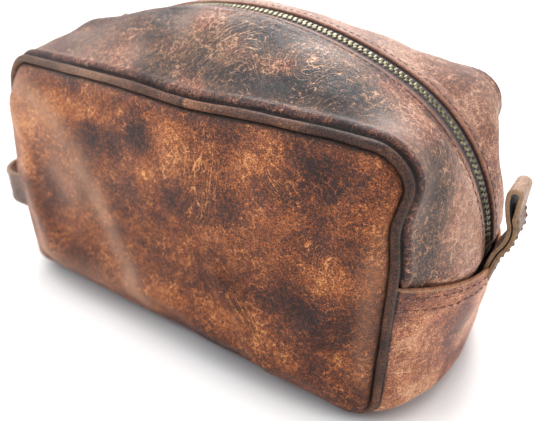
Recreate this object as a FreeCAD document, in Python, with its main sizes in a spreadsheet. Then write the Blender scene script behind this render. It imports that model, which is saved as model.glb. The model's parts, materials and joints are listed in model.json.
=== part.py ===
"""Leather wash bag with a zip over its crown, as a FreeCAD parametric document, in millimetres.

X runs along the bag, Y from front to back and Z up, with the origin under the middle of the bottom.
The front and back panels are crowned leather sheets with piped edges. A top gusset in two halves meets
them along the piping and carries the zip along an arch. Two end gussets and a flat bottom close the rest.
The upper half of each side folds outwards at the height of the zip's ends, so each sheet that crosses
that fold is made as an upper and a lower solid.
"""

import FreeCAD, Part, Sketcher

import math
import os

from FreeCAD import Placement, Rotation, Vector

DIMENSIONS = {
    "panel_length": 212.0,
    "panel_top": 123.0,
    "panel_bottom": 2.4,
    "panel_depth": 107.4,
    "panel_crown": 8.0,
    "panel_lift": 0.4,
    "top_corner": 14.0,
    "base_corner": 12.0,
    "fold_height": 64.0,
    "fold_gap": 0.5,
    "leather": 1.8,
    "lining": 0.8,
    "lining_gap": 0.9,
    "seam_gap": 0.35,
    "lining_inset": 3.2,
    "lining_sink": 0.3,
    "lining_lip": 1.0,
    "stitch_gap": 0.15,
    "piping_radius": 2.2,
    "cord_radius": 1.2,
    "cord_play": 0.1,
    "gusset_pillow": 3.0,
    "crown_height": 148.0,
    "crown_radius": 186.0,
    "crown_angle": 26.0,
    "shoulder_radius": 77.0,
    "lip_gap": 6.8,
    "lip_width": 8.5,
    "lip_clearance": 0.15,
    "tape_width": 14.0,
    "tape_thickness": 0.8,
    "tape_edge": 1.0,
    "tooth_pitch": 2.5,
    "tooth_width": 1.05,
    "tooth_height": 2.5,
    "tooth_reach": 0.75,
    "tooth_back": 2.95,
    "tooth_slot": 1.0,
    "tooth_head": 1.6,
    "tooth_neck": 0.6,
    "tooth_chamfer": 0.45,
    "bottom_half": 92.0,
    "board_thickness": 1.6,
    "board_inset": 2.0,
    "layer_gap": 0.1,
    "end_bulge": 129.0,
    "belly_out": 118.5,
    "belly_height": 9.0,
    "heel_out": 110.0,
    "heel_height": 2.2,
    "strap_thickness": 2.2,
    "tab_width": 16.0,
    "tab_middle": 130.2,
    "tab_foot": 64.8,
    "tab_eye_height": 95.0,
    "tab_eye": 2.4,
    "tab_slit": 0.4,
    "handle_width": 20.0,
    "handle_middle": 43.0,
    "handle_reach": 145.0,
    "handle_corner": 18.0,
    "handle_root": 119.0,
    "slider_turn": 24.4,
    "slider_length": 11.0,
    "slider_front": 12.4,
    "slider_rear": 8.8,
    "flange": 0.7,
    "plate_thickness": 1.0,
    "channel_height": 2.9,
    "tape_slot": 1.4,
    "wedge_width": 1.6,
    "wedge_length": 3.6,
    "part_shift": 1.7,
    "part_lead": 3.0,
    "part_run": 4.2,
    "bridge_length": 8.0,
    "bridge_rise": 2.8,
    "bridge_width": 1.8,
    "bridge_bar": 1.0,
    "pull_length": 24.0,
    "pull_width": 6.5,
    "pull_thickness": 1.3,
    "pull_bar": 1.2,
    "pull_hole": 1.4,
    "pull_hole_inset": 3.0,
    "stop_length": 2.2,
    "stop_width": 7.2,
    "stop_inset": 3.0,
    "stop_reach": 3.4,
    "chain_end": 6.0,
    "stitch_pitch": 4.0,
    "hem_pitch": 5.5,
    "hem_first": 4.0,
    "hem_second": 9.0,
    "tab_seam": 1.4,
    "handle_seam": 1.8,
    "thread": 0.8,
}

doc = FreeCAD.newDocument("wash_bag")
sheet = doc.addObject("Spreadsheet::Sheet", "dims")
for row, (alias, value) in enumerate(DIMENSIONS.items(), start=1):
    sheet.set(f"A{row}", alias)
    sheet.set(f"B{row}", str(value))
    sheet.setAlias(f"B{row}", alias)
doc.recompute()

nodes = []


def size(alias):
    """The value of one driving dimension, read back from the sheet."""
    return float(sheet.get(alias))


def keep(thing, label):
    """Names an object as a sub-part of the bag, to be written out."""
    thing.Label = label
    nodes.append(thing)
    return thing


def shaped(label, shape, placement=None):
    """A sub-part whose shape is made with Part's own functions."""
    feature = doc.addObject("Part::Feature", label)
    feature.Shape = shape
    if placement is not None:
        feature.Placement = placement
    return keep(feature, label)


def bind(thing, **expressions):
    """Binds properties of an object to expressions of the sheet's cells."""
    for name, text in expressions.items():
        thing.setExpression(name, text)


# Driving curves -------------------------------------------------------------------------------------

HALF_LENGTH = size("panel_length") / 2
SIDE_Y = size("panel_depth") / 2
FOLD = size("fold_height")
UPPER_START = FOLD + size("fold_gap") / 2
LOWER_END = FOLD - size("fold_gap") / 2
SEAM_Y = SIDE_Y - size("piping_radius") - size("seam_gap")


def zip_arch(height):
    """The zip's line in the XZ plane from the left end to the right end, at a height above its tape.

    It is a low arc over the crown and a tighter arc over each shoulder. Returns the wire, whose ends stand
    at the fold.
    """
    big, small = size("crown_radius") + height, size("shoulder_radius") + height
    angle = math.radians(size("crown_angle"))
    middle, shoulder = arch_centres()
    end = math.acos((UPPER_START - shoulder.z) / small)

    def on(centre, radius, turn):
        return Vector(centre.x + radius * math.sin(turn), 0, centre.z + radius * math.cos(turn))

    turns = (angle, (angle + end) / 2, end)
    right = Part.Arc(*(on(shoulder, small, turn) for turn in turns)).toShape()
    crown = Part.Arc(*(on(middle, big, turn) for turn in (-angle, 0, angle))).toShape()
    left = right.mirror(Vector(), Vector(1, 0, 0))
    return Part.Wire(Part.__sortEdges__([left, crown, right]))


def arch_centres():
    """The centres of the crown's arc and of the right shoulder's arc."""
    angle = math.radians(size("crown_angle"))
    middle = Vector(0, 0, size("crown_height") - size("crown_radius"))
    step = size("crown_radius") - size("shoulder_radius")
    return middle, middle + Vector(step * math.sin(angle), 0, step * math.cos(angle))


def arch_frames(count, ends=0.0):
    """Evenly spaced (point, tangent, outward normal) along the zip's line, from left to right."""
    wire = zip_arch(0.0)
    points = wire.discretize(Number=2001)
    if points[0].x > points[-1].x:
        points.reverse()
    lengths = [0.0]
    for a, b in zip(points, points[1:]):
        lengths.append(lengths[-1] + a.distanceToPoint(b))
    frames = []
    for n in range(count):
        want = ends + (lengths[-1] - 2 * ends) * n / (count - 1)
        k = min(range(1, len(points) - 1), key=lambda i: abs(lengths[i] - want))
        if n == 0 and ends == 0.0:
            k = 0
        if n == count - 1 and ends == 0.0:
            k = len(points) - 1
        low, high = max(k - 1, 0), min(k + 1, len(points) - 1)
        tangent = (points[high] - points[low]).normalize()
        frames.append((points[k], tangent, Vector(-tangent.z, 0, tangent.x)))
    return frames


def side_outline(inset=0.0, upper=True):
    """The piped outline of a side panel above or below the fold, in the XZ plane, from left to right."""
    half, top = HALF_LENGTH - inset, size("panel_top") - inset
    bottom = size("panel_bottom") + inset
    if upper:
        radius, start, end = size("top_corner") - inset, UPPER_START, top
    else:
        radius, start, end = size("base_corner") - inset, LOWER_END, bottom
    way = 1 if upper else -1
    centre = Vector(half - radius, 0, end - way * radius)
    lean = radius * math.sqrt(0.5)
    right = [
        Part.makeLine(Vector(half, 0, start), Vector(half, 0, centre.z)),
        Part.Arc(
            Vector(half, 0, centre.z), centre + Vector(lean, 0, way * lean), Vector(centre.x, 0, end)
        ).toShape(),
    ]
    left = [edge.mirror(Vector(), Vector(1, 0, 0)) for edge in right]
    across = Part.makeLine(Vector(centre.x, 0, end), Vector(-centre.x, 0, end))
    return Part.Wire(Part.__sortEdges__(left + [across] + right))


# Sheets of leather and lining -----------------------------------------------------------------------


def section(start, middle, end, away, thickness):
    """A thin closed wire: an arc through three points, and the same arc moved by -away * thickness."""
    inner = [p - a * thickness for p, a in zip((start, middle, end), away)]
    return Part.Wire(
        [
            Part.Arc(start, middle, end).toShape(),
            Part.makeLine(end, inner[2]),
            Part.Arc(inner[2], inner[1], inner[0]).toShape(),
            Part.makeLine(inner[0], start),
        ]
    )


def lipped_section(start, middle, turn, end, away, thickness):
    """As section, with a straight lip from turn to end."""
    inner = [p - a * thickness for p, a in zip((start, middle, turn, end), away)]
    return Part.Wire(
        [
            Part.Arc(start, middle, turn).toShape(),
            Part.makeLine(turn, end),
            Part.makeLine(end, inner[3]),
            Part.makeLine(inner[3], inner[2]),
            Part.Arc(inner[2], inner[1], inner[0]).toShape(),
            Part.makeLine(inner[0], start),
        ]
    )


def sheet_through(sections):
    """A solid sheet through a row of sections."""
    return Part.makeLoft(sections, True, False)


def panel_rows(upper, trim):
    """(height, half length) of a side sheet's rows, from the fold to the far edge, trim inside the seam."""
    inset = size("piping_radius") + size("seam_gap") + trim
    if upper:
        radius, end, start, way = size("top_corner"), size("panel_top"), UPPER_START, 1
    else:
        radius, end, start, way = size("base_corner"), size("panel_bottom"), LOWER_END, -1
    level = end - way * radius
    rows = [(start + (level - start) * n / 3, HALF_LENGTH - inset) for n in range(3)]
    for turn in (0, 30, 60, 88):
        lean = math.radians(turn)
        rows.append(
            (
                level + way * (radius - inset) * math.sin(lean),
                HALF_LENGTH - radius + (radius - inset) * math.cos(lean),
            )
        )
    return rows


def panel_crown(height):
    """How far a side panel stands out at its middle, at a height."""
    middle = (size("panel_top") + size("panel_bottom")) / 2
    share = (height - middle) / (size("panel_top") - middle)
    return size("panel_lift") + size("panel_crown") * max(0.0, 1 - share * share)


def side_sheet(side, upper, depth, thickness, trim=0.0):
    """A crowned sheet of a side panel, its outer face depth inside the panel's own outer face."""
    out = Vector(0, side, 0)
    base = side * (SIDE_Y + size("leather") / 2 - depth)
    sections = []
    for height, half in panel_rows(upper, trim):
        points = [
            Vector(-half, base, height),
            Vector(0, base + side * panel_crown(height), height),
            Vector(half, base, height),
        ]
        sections.append(section(*points, [out] * 3, thickness))
    return sheet_through(sections)


def top_gusset(side, depth, thickness, reach):
    """Half of the top gusset: from the piping to the zip's lip, reach away from the zip's line."""
    count = 25
    wire = side_outline(0.0, True)
    outline = wire.discretize(Number=1201)
    if outline[0].x > outline[-1].x:
        outline.reverse()
    lip_height = size("tape_thickness") / 2 + size("lip_clearance") + size("leather")
    seam_height = size("leather") / 2
    sections = []
    for n, (point, _, normal) in enumerate(arch_frames(count)):
        if n in (0, count - 1):
            normal = Vector(math.copysign(1, point.x), 0, 0)
        k = round((len(outline) - 1) * n / (count - 1))
        edge = outline[k]
        low, high = outline[max(k - 1, 0)], outline[min(k + 1, len(outline) - 1)]
        run = (high - low).normalize()
        rise = Vector(-run.z, 0, run.x)
        start = edge + rise * (seam_height - depth) + Vector(0, side * SEAM_Y, 0)
        end = point + normal * (lip_height - depth) + Vector(0, side * reach, 0)
        turn = end + Vector(0, side * (size("lip_gap") + size("lip_width") - reach), 0)
        along = (rise + normal).normalize()
        middle = (start + turn) / 2 + along * size("gusset_pillow")
        ways = [rise, along, normal, normal]
        sections.append(lipped_section(start, middle, turn, end, ways, thickness))
    return sheet_through(sections)


def end_gusset(side, depth, thickness):
    """An end of the bag below the fold, from the hem down and round to the bottom's seam."""
    edge_out = size("leather") / 2
    radius, half = size("base_corner"), HALF_LENGTH
    bottom = size("panel_bottom") - edge_out
    centre = Vector(half - radius, 0, size("panel_bottom") + radius)
    bulge = size("end_bulge")
    rows = [
        (Vector(half + edge_out, 0, LOWER_END), Vector(bulge, 0, LOWER_END), Vector(1, 0, 0)),
        (Vector(half + edge_out, 0, 44), Vector(bulge - 1.5, 0, 44), Vector(1, 0, 0)),
        (Vector(half + edge_out, 0, 26), Vector(bulge - 7, 0, 24), Vector(0.97, 0, -0.24)),
    ]
    belly = Vector(size("belly_out"), 0, size("belly_height"))
    heel = Vector(size("heel_out"), 0, size("heel_height"))
    for turn, reach in ((35, belly), (65, heel)):
        lean = math.radians(turn)
        away = Vector(math.cos(lean), 0, -math.sin(lean))
        rows.append((centre + away * (radius + edge_out), reach, away))
    last = size("bottom_half") + size("seam_gap")
    rows.append((Vector(last, 0, bottom), Vector(last, 0, 0.05), Vector(0, 0, -1)))
    sections = []
    for edge, middle, away in rows:
        points = []
        for p, y in ((edge, -SEAM_Y), (middle, 0), (edge, SEAM_Y)):
            moved = p - away * depth
            points.append(Vector(side * moved.x, y, moved.z))
        turned = Vector(side * away.x, 0, away.z)
        sections.append(section(*points, [turned] * 3, thickness))
    return sheet_through(sections)


# PartDesign bodies ----------------------------------------------------------------------------------


def new_body(label):
    """An empty PartDesign body."""
    return doc.addObject("PartDesign::Body", label)


def plane_of(body, role):
    """One of the body's own origin planes."""
    return next(f for f in body.Origin.OriginFeatures if f.Role == role)


def new_sketch(body, role, name):
    """An empty sketch on one of the body's origin planes."""
    sketch = body.newObject("Sketcher::SketchObject", name)
    sketch.AttachmentSupport = [(plane_of(body, role), "")]
    sketch.MapMode = "FlatFace"
    return sketch


def add_polygon(sketch, outline):
    """A closed polygon whose corners are pairs of expressions of the sheet's cells."""
    values = [[float(sheet.evalExpression(text)) for text in corner] for corner in outline]
    corners = [Vector(x, y, 0) for x, y in values]
    first = sketch.GeometryCount
    count = len(corners)
    for n in range(count):
        sketch.addGeometry(Part.LineSegment(corners[n], corners[(n + 1) % count]), False)
    for n in range(count):
        after = first + (n + 1) % count
        sketch.addConstraint(Sketcher.Constraint("Coincident", first + n, 2, after, 1))
    for n, (x, y) in enumerate(outline):
        for way, text, value in (("DistanceX", x, corners[n].x), ("DistanceY", y, corners[n].y)):
            held = sketch.addConstraint(Sketcher.Constraint(way, first + n, 1, value))
            sketch.setExpression(f"Constraints[{held}]", text)


def add_circle(sketch, x, y, radius):
    """A circle whose centre and radius are expressions of the sheet's cells."""
    values = [float(sheet.evalExpression(text)) for text in (x, y, radius)]
    centre = Vector(values[0], values[1], 0)
    ring = sketch.addGeometry(Part.Circle(centre, Vector(0, 0, 1), values[2]), False)
    for way, place, text, value in (
        ("DistanceX", 3, x, values[0]),
        ("DistanceY", 3, y, values[1]),
    ):
        held = sketch.addConstraint(Sketcher.Constraint(way, ring, place, value))
        sketch.setExpression(f"Constraints[{held}]", text)
    held = sketch.addConstraint(Sketcher.Constraint("Radius", ring, values[2]))
    sketch.setExpression(f"Constraints[{held}]", radius)


def pad(body, sketch, length, middle=True):
    """A pad of a sketch, centred on its plane unless middle is false."""
    feature = body.newObject("PartDesign::Pad", sketch.Name + "_pad")
    feature.Profile = sketch
    feature.Midplane = middle
    bind(feature, Length=length)
    doc.recompute()
    return feature


def pocket(body, sketch, length):
    """A pocket of a sketch, centred on its plane."""
    before = body.Shape.Volume
    feature = body.newObject("PartDesign::Pocket", sketch.Name + "_pocket")
    feature.Profile = sketch
    feature.Midplane = True
    bind(feature, Length=length)
    doc.recompute()
    if body.Shape.Volume >= before - 0.01:
        raise RuntimeError(f"{feature.Name} cuts nothing")
    return feature


def rectangle(x_low, x_high, y_low, y_high):
    """The four corners of a rectangle, as expressions."""
    return [(x_low, y_low), (x_high, y_low), (x_high, y_high), (x_low, y_high)]


def flat_plate(label, inset, low, thickness):
    """A level plate over the bottom, inset from the seams round it, with its lower face at a height."""
    body = new_body(label)
    sketch = new_sketch(body, "XY_Plane", label + "_outline")
    half_length = f"(dims.bottom_half - {inset})"
    half_width = f"(dims.panel_depth / 2 - dims.piping_radius - dims.seam_gap - {inset})"
    add_polygon(sketch, rectangle(f"-{half_length}", half_length, f"-{half_width}", half_width))
    pad(body, sketch, thickness, middle=False)
    body.setExpression("Placement.Base.z", low)
    return keep(body, label)


def pull_tab():
    """The folded leather tab at the zip's right end: two arms with an eye at their top."""
    body = new_body("pull_tab")
    middle, thick = "dims.tab_middle", "dims.strap_thickness"
    half = f"({thick} + dims.tab_slit / 2)"
    eye = "dims.tab_eye_height"
    arms = new_sketch(body, "XZ_Plane", "tab_arms")
    add_polygon(arms, rectangle(f"{middle} - {half}", f"{middle} + {half}", "dims.tab_foot", eye))
    pad(body, arms, "dims.tab_width")
    ring = new_sketch(body, "XZ_Plane", "tab_ring")
    add_circle(ring, middle, eye, f"dims.tab_eye + {thick}")
    pad(body, ring, "dims.tab_width")
    hole = new_sketch(body, "XZ_Plane", "tab_hole")
    add_circle(hole, middle, eye, "dims.tab_eye")
    pocket(body, hole, "dims.tab_width + 2")
    slit = new_sketch(body, "XZ_Plane", "tab_slit")
    edges = (f"{middle} - dims.tab_slit / 2", f"{middle} + dims.tab_slit / 2")
    add_polygon(slit, rectangle(*edges, "dims.tab_foot - 1", eye))
    pocket(body, slit, "dims.tab_width + 2")
    return keep(body, "pull_tab")


def side_handle():
    """The strap across the left end, with half round roots next to the front and back piping."""
    body = new_body("side_handle")
    thick = "dims.strap_thickness"
    out = f"(dims.panel_depth / 2 + {thick} / 2)"
    loop = new_sketch(body, "XY_Plane", "handle_loop")
    add_polygon(loop, rectangle("-dims.handle_reach", "-dims.handle_root", f"-{out}", out))
    pad(body, loop, "dims.handle_width")
    roots = new_sketch(body, "XZ_Plane", "handle_roots")
    add_circle(roots, "-dims.handle_root", "0", "dims.handle_width / 2")
    pad(body, roots, f"2 * {out}")
    corners = [
        f"Edge{n}"
        for n, edge in enumerate(body.Shape.Edges, start=1)
        if abs(edge.Length - size("handle_width")) < 0.01
        and abs(edge.CenterOfMass.x + size("handle_reach")) < 0.01
    ]
    block = body.Tip
    fillet = body.newObject("PartDesign::Fillet", "handle_corners")
    fillet.Base = (block, corners)
    bind(fillet, Radius=f"dims.handle_corner + {thick}")
    doc.recompute()
    inner = new_sketch(body, "XY_Plane", "handle_inside")
    inside = f"(dims.panel_depth / 2 - {thick} / 2)"
    reach, bend = f"(-dims.handle_reach + {thick})", "dims.handle_corner"
    outline = [
        ("-dims.handle_root + dims.handle_width", f"-{inside}"),
        (f"{reach} + {bend}", f"-{inside}"),
        (f"{reach} + {bend} * 0.293", f"-{inside} + {bend} * 0.293"),
        (reach, f"-{inside} + {bend}"),
        (reach, f"{inside} - {bend}"),
        (f"{reach} + {bend} * 0.293", f"{inside} - {bend} * 0.293"),
        (f"{reach} + {bend}", inside),
        ("-dims.handle_root + dims.handle_width", inside),
    ]
    add_polygon(inner, outline)
    pocket(body, inner, "dims.handle_width + 2")
    body.setExpression("Placement.Base.z", "dims.handle_middle")
    return keep(body, "side_handle")


def on_crown(body, height=0.0):
    """Stands a body on the zip's crown arc where the slider rests, with its X along the arc."""
    turn = math.radians(size("slider_turn"))
    radius = size("crown_radius") + height
    middle, _ = arch_centres()
    base = Vector(-radius * math.sin(turn), 0, middle.z + radius * math.cos(turn))
    body.Placement = Placement(base, Rotation(Vector(0, 1, 0), -size("slider_turn")))
    return body


def zip_slider():
    """The slider: two plates with turned-in flanges, joined by a wedge at the end that parts the teeth."""
    body = new_body("zip_slider")
    half = "dims.slider_length / 2"
    front, rear = "dims.slider_front / 2", "dims.slider_rear / 2"
    plates = new_sketch(body, "XY_Plane", "slider_plates")
    add_polygon(
        plates, [(f"-{half}", f"-{front}"), (half, f"-{rear}"), (half, rear), (f"-{half}", front)]
    )
    pad(body, plates, "dims.channel_height + 2 * dims.plate_thickness")
    channel = new_sketch(body, "XY_Plane", "slider_channel")
    past = f"({half} + 1)"
    wide, narrow = f"({front} - dims.flange)", f"({rear} - dims.flange)"
    add_polygon(
        channel, [(f"-{past}", f"-{wide}"), (past, f"-{narrow}"), (past, narrow), (f"-{past}", wide)]
    )
    wedge, tip = "dims.wedge_width / 2", f"-{half} + dims.wedge_length"
    shoulder = f"-{half} + dims.wedge_length * 2 / 3"
    corners = [(f"-{half}", f"-{wedge}"), (shoulder, f"-{wedge}"), (tip, "0"), (shoulder, wedge)]
    add_polygon(channel, corners + [(f"-{half}", wedge)])
    pocket(body, channel, "dims.channel_height")
    slots = new_sketch(body, "XY_Plane", "slider_slots")
    for low, high in (("-dims.slider_front", "-dims.wedge_width"), ("dims.wedge_width", "dims.slider_front")):
        add_polygon(slots, rectangle(f"-{past}", past, low, high))
    pocket(body, slots, "dims.tape_slot")
    on_crown(body)
    return keep(body, "zip_slider")


def slider_bridge():
    """The arch on the slider's top plate that holds the pull."""
    body = new_body("slider_bridge")
    arch = new_sketch(body, "XZ_Plane", "bridge_arch")
    half, bar = "dims.bridge_length / 2", "dims.bridge_bar"
    low = "(dims.channel_height / 2 + dims.plate_thickness)"
    add_polygon(arch, rectangle(f"-{half}", half, low, f"{low} + dims.bridge_rise"))
    inner = rectangle(f"-{half} + {bar}", f"{half} - {bar}", low, f"{low} + dims.bridge_rise - {bar}")
    pad(body, arch, "dims.bridge_width")
    gap = new_sketch(body, "XZ_Plane", "bridge_gap")
    add_polygon(gap, inner)
    pocket(body, gap, "dims.bridge_width + 2")
    on_crown(body)
    return keep(body, "slider_bridge")


def zip_pull():
    """The pull: a plate with a window at one end, whose bar hangs in the slider's bridge."""
    body = new_body("zip_pull")
    axle = "(dims.channel_height / 2 + dims.plate_thickness + dims.bridge_rise / 2 - dims.bridge_bar / 2)"
    plate = new_sketch(body, "XY_Plane", "pull_plate")
    bar = "dims.pull_bar"
    end = f"{bar} / 2"
    wide = "dims.pull_width / 2"
    add_polygon(plate, rectangle("-dims.pull_length", end, f"-{wide}", wide))
    pad(body, plate, "dims.pull_thickness")
    window = new_sketch(body, "XY_Plane", "pull_window")
    side = f"{wide} - {bar}"
    add_polygon(window, rectangle(f"-dims.bridge_length / 2 - {bar}", f"-{end}", f"-({side})", side))
    pocket(body, window, "dims.pull_thickness + 2")
    hang = new_sketch(body, "XY_Plane", "pull_hole")
    add_circle(hang, "-dims.pull_length + dims.pull_hole_inset", "0", "dims.pull_hole")
    pocket(body, hang, "dims.pull_thickness + 2")
    on_crown(body, float(sheet.evalExpression(axle)))
    return keep(body, "zip_pull")


# Piping ---------------------------------------------------------------------------------------------


def along_outline(side, upper, radius, bore=None):
    """A round tube or cord that follows a side panel's outline on one side of the fold."""
    path = side_outline(0.0, upper)
    start = path.OrderedVertexes[0].Point
    way = Vector(0, 0, 1)

    def rod(r):
        ring = Part.Wire([Part.makeCircle(r, start, way)])
        return path.makePipeShell([ring], True, True)

    solid = rod(radius)
    if bore is not None:
        solid = solid.cut(rod(bore))
    solid.translate(Vector(0, side * SIDE_Y, 0))
    return solid


# Zip ------------------------------------------------------------------------------------------------


def parting(x):
    """How far the teeth stand off the zip's line at a place along X: they are parted left of the slider."""
    start = slider_point().x + size("part_lead")
    share = (start - x) / size("part_run")
    return size("part_shift") * min(1.0, max(0.0, share))


def slider_point():
    """The slider's middle at rest."""
    turn = math.radians(size("slider_turn"))
    middle, _ = arch_centres()
    return middle + Vector(-math.sin(turn), 0, math.cos(turn)) * size("crown_radius")


def zip_tape(side):
    """One woven tape: a thin band under the zip's line, from its beaded edge to under the leather."""
    thick = size("tape_thickness") / 2
    outer, inner = zip_arch(thick), zip_arch(-thick)
    outer_ends = [v.Point for v in outer.OrderedVertexes]
    inner_ends = [v.Point for v in inner.OrderedVertexes]
    caps = [Part.makeLine(outer_ends[n], inner_ends[n]) for n in (0, -1)]
    band = Part.Face(Part.Wire(Part.__sortEdges__(outer.Edges + inner.Edges + caps)))
    edge, width = size("tape_edge"), size("tape_width")
    tape = band.extrude(Vector(0, width - edge, 0))
    tape.translate(Vector(0, edge if side > 0 else -width, 0))
    parted = edge + size("part_shift")
    reach = 2 * HALF_LENGTH
    corner = Vector(slider_point().x + size("part_lead") - reach, 0 if side > 0 else -parted, 0)
    return tape.cut(Part.makeBox(reach, parted, 2 * size("crown_height"), corner))


def tooth(side):
    """One metal tooth at the origin: legs that clamp the tape's edge and a head past the middle."""
    back, reach, high = size("tooth_back"), size("tooth_reach"), size("tooth_height") / 2
    slot, lip, head = size("tooth_slot") / 2, size("tape_edge") - 0.1, size("tooth_head") / 2
    neck, cut = size("tooth_neck"), size("tooth_chamfer")
    upper = [(-lip, slot), (-back, slot), (-back, high - cut), (-back + cut, high), (-neck, high)]
    upper.append((reach, head))
    outline = upper + [(y, -z) for y, z in reversed(upper)]
    half = size("tooth_width") / 2
    corners = [Vector(-half, -side * y, z) for y, z in outline]
    face = Part.Face(Part.makePolygon(corners + corners[:1]))
    return face.extrude(Vector(2 * half, 0, 0))


def seated(shape, frame):
    """A copy of a shape made at the origin, seated on the zip's line with its X along the tangent."""
    point, tangent, normal = frame
    turn = Rotation(tangent, Vector(0, 1, 0), normal, "XYZ")
    moved = shape.copy()
    moved.Placement = Placement(point, turn)
    return moved


def zip_teeth(side, frames):
    """A row of teeth along the zip's line, each slid out sideways where the chain is parted."""
    single = tooth(side)
    row = []
    for frame in frames:
        one = seated(single, frame)
        one.translate(Vector(0, side * parting(frame[0].x), 0))
        row.append(one)
    return Part.makeCompound(row)


def top_stop(side, frame):
    """A metal clip on one tape's edge, at the parted end."""
    half, high, slot_high = size("stop_length") / 2, size("tooth_height"), size("tooth_slot")
    near = size("part_shift") + size("layer_gap")
    far, slot = near + size("stop_reach"), size("part_shift") + size("tape_edge")

    def block(y_low, y_high, height):
        low = y_low if side > 0 else -y_high
        return Part.makeBox(2 * half, y_high - y_low, height, Vector(-half, low, -height / 2))

    return seated(block(near, far, high).cut(block(slot, far, slot_high)), frame)


def bottom_stop(frame):
    """A metal clip across both tapes, at the end that stays closed."""
    half, wide, high = size("stop_length") / 2, size("stop_width"), size("tooth_height") + 0.6
    clip = Part.makeBox(2 * half, wide, high, Vector(-half, -wide / 2, -high / 2))
    for side in (-1, 1):
        near, slot_high = size("tape_edge") - size("layer_gap"), size("tooth_slot")
        low = near if side > 0 else -near - wide
        clip = clip.cut(Part.makeBox(2 * half, wide, slot_high, Vector(-half, low, -slot_high / 2)))
    return seated(clip, frame)


# Stitches -------------------------------------------------------------------------------------------


def stitch(point, way):
    """One visible run of thread, centred on a point."""
    length, radius = 0.65 * size("stitch_pitch"), size("thread") / 2
    return Part.makeCylinder(radius, length, point - way * (length / 2), way)


def surface_point(shape, start, way):
    """Where a straight line from start first meets a shape."""
    inside = shape.common(Part.makeLine(start, start + way * HALF_LENGTH))
    return min((v.Point for v in inside.Vertexes), key=start.distanceToPoint)


def lip_stitches(side):
    """The row of stitches along one lip of the zip."""
    high = size("tape_thickness") / 2 + size("lip_clearance") + size("leather") + size("thread") / 2
    high += size("stitch_gap")
    count = round(zip_arch(0.0).Length / size("stitch_pitch"))
    row = []
    for point, tangent, normal in arch_frames(count, size("stitch_pitch")):
        place = point + normal * high + Vector(0, side * (size("lip_gap") + size("lip_width") / 2), 0)
        row.append(stitch(place, tangent))
    return Part.makeCompound(row)


def hem_stitches(side, gusset):
    """Two rows of stitches below an end gusset's hem."""
    row = []
    away = Vector(side, 0, 0)
    steps = int(SEAM_Y * 0.9 / size("hem_pitch"))
    for drop in (size("hem_first"), size("hem_second")):
        for n in range(-steps, steps + 1):
            height = LOWER_END - drop
            points = []
            for shift in (-0.5, 0, 0.5):
                start = Vector(2 * side * HALF_LENGTH, n * size("hem_pitch") + shift, height)
                points.append(surface_point(gusset, start, -away))
            way = (points[2] - points[0]).normalize()
            out = way.cross(Vector(0, 0, 1)) * (1 if side > 0 else -1)
            row.append(stitch(points[1] + out * (size("thread") / 2 + size("stitch_gap")), way))
    return Part.makeCompound(row)


def tab_stitches():
    """Rows of stitches down both edges of the pull tab's outer face."""
    face = size("tab_middle") + size("tab_slit") / 2 + size("strap_thickness") + size("thread") / 2
    row = []
    for side in (-1, 1):
        for n in range(5):
            height = size("tab_foot") + (n + 1) * size("stitch_pitch")
            edge = side * (size("tab_width") / 2 - size("tab_seam"))
            row.append(stitch(Vector(face, edge, height), Vector(0, 0, 1)))
    return Part.makeCompound(row)


def handle_stitches():
    """Rows of stitches along both edges of the side handle's outer face."""
    face = size("handle_reach") + size("thread") / 2
    row = []
    for side in (-1, 1):
        height = size("handle_middle") + side * (size("handle_width") / 2 - size("handle_seam"))
        for n in range(-9, 10):
            row.append(stitch(Vector(-face, n * size("stitch_pitch"), height), Vector(0, 1, 0)))
    return Part.makeCompound(row)


# Build ----------------------------------------------------------------------------------------------

LEATHER, LINING = size("leather"), size("lining")
LINING_DEPTH = LEATHER + size("lining_gap")
CORD_BORE = size("cord_radius") + size("cord_play")
CHAIN = 2 * round((zip_arch(0.0).Length - 2 * size("chain_end")) / size("tooth_pitch"))
chain_frames = arch_frames(CHAIN, size("chain_end"))
end_frames = arch_frames(2, size("stop_inset"))

for name, side in (("front", -1), ("back", 1)):
    for level, upper in (("lower", False), ("upper", True)):
        shaped(f"{name}_panel_{level}", side_sheet(side, upper, 0.0, LEATHER))
        lining = side_sheet(side, upper, LINING_DEPTH, LINING, size("lining_inset"))
        shaped(f"{name}_lining_{level}", lining)
        shaped(f"{name}_piping_{level}", along_outline(side, upper, size("piping_radius"), CORD_BORE))
        shaped(f"{name}_cord_{level}", along_outline(side, upper, size("cord_radius")))
    shaped(f"{name}_top_gusset", top_gusset(side, 0.0, LEATHER, size("lip_gap")))
    depth, reach = LINING_DEPTH + size("lining_sink"), size("lip_gap") + size("lining_lip")
    shaped(f"{name}_top_lining", top_gusset(side, depth, LINING, reach))
    shaped(f"zip_tape_{name}", zip_tape(side))
    shaped(f"zip_teeth_{name}", zip_teeth(side, chain_frames[0 if side < 0 else 1 :: 2]))
    shaped(f"zip_top_stop_{name}", top_stop(side, end_frames[0]))
    shaped(f"{name}_lip_stitches", lip_stitches(side))

for name, side in (("left", -1), ("right", 1)):
    gusset = end_gusset(side, 0.0, LEATHER)
    shaped(f"{name}_end_gusset", gusset)
    shaped(f"{name}_end_lining", end_gusset(side, LINING_DEPTH, LINING))
    shaped(f"{name}_hem_stitches", hem_stitches(side, gusset))

shaped("zip_bottom_stop", bottom_stop(end_frames[1]))
flat_plate("bottom_panel", "0", "0", "dims.leather")
board_low = "dims.leather + dims.layer_gap"
flat_plate("bottom_board", "dims.board_inset", board_low, "dims.board_thickness")
lining_low = f"{board_low} + dims.board_thickness + dims.layer_gap"
flat_plate("bottom_lining", "dims.board_inset", lining_low, "dims.lining")
pull_tab()
shaped("tab_stitches", tab_stitches())
side_handle()
shaped("handle_stitches", handle_stitches())
zip_slider()
slider_bridge()
zip_pull()

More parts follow.
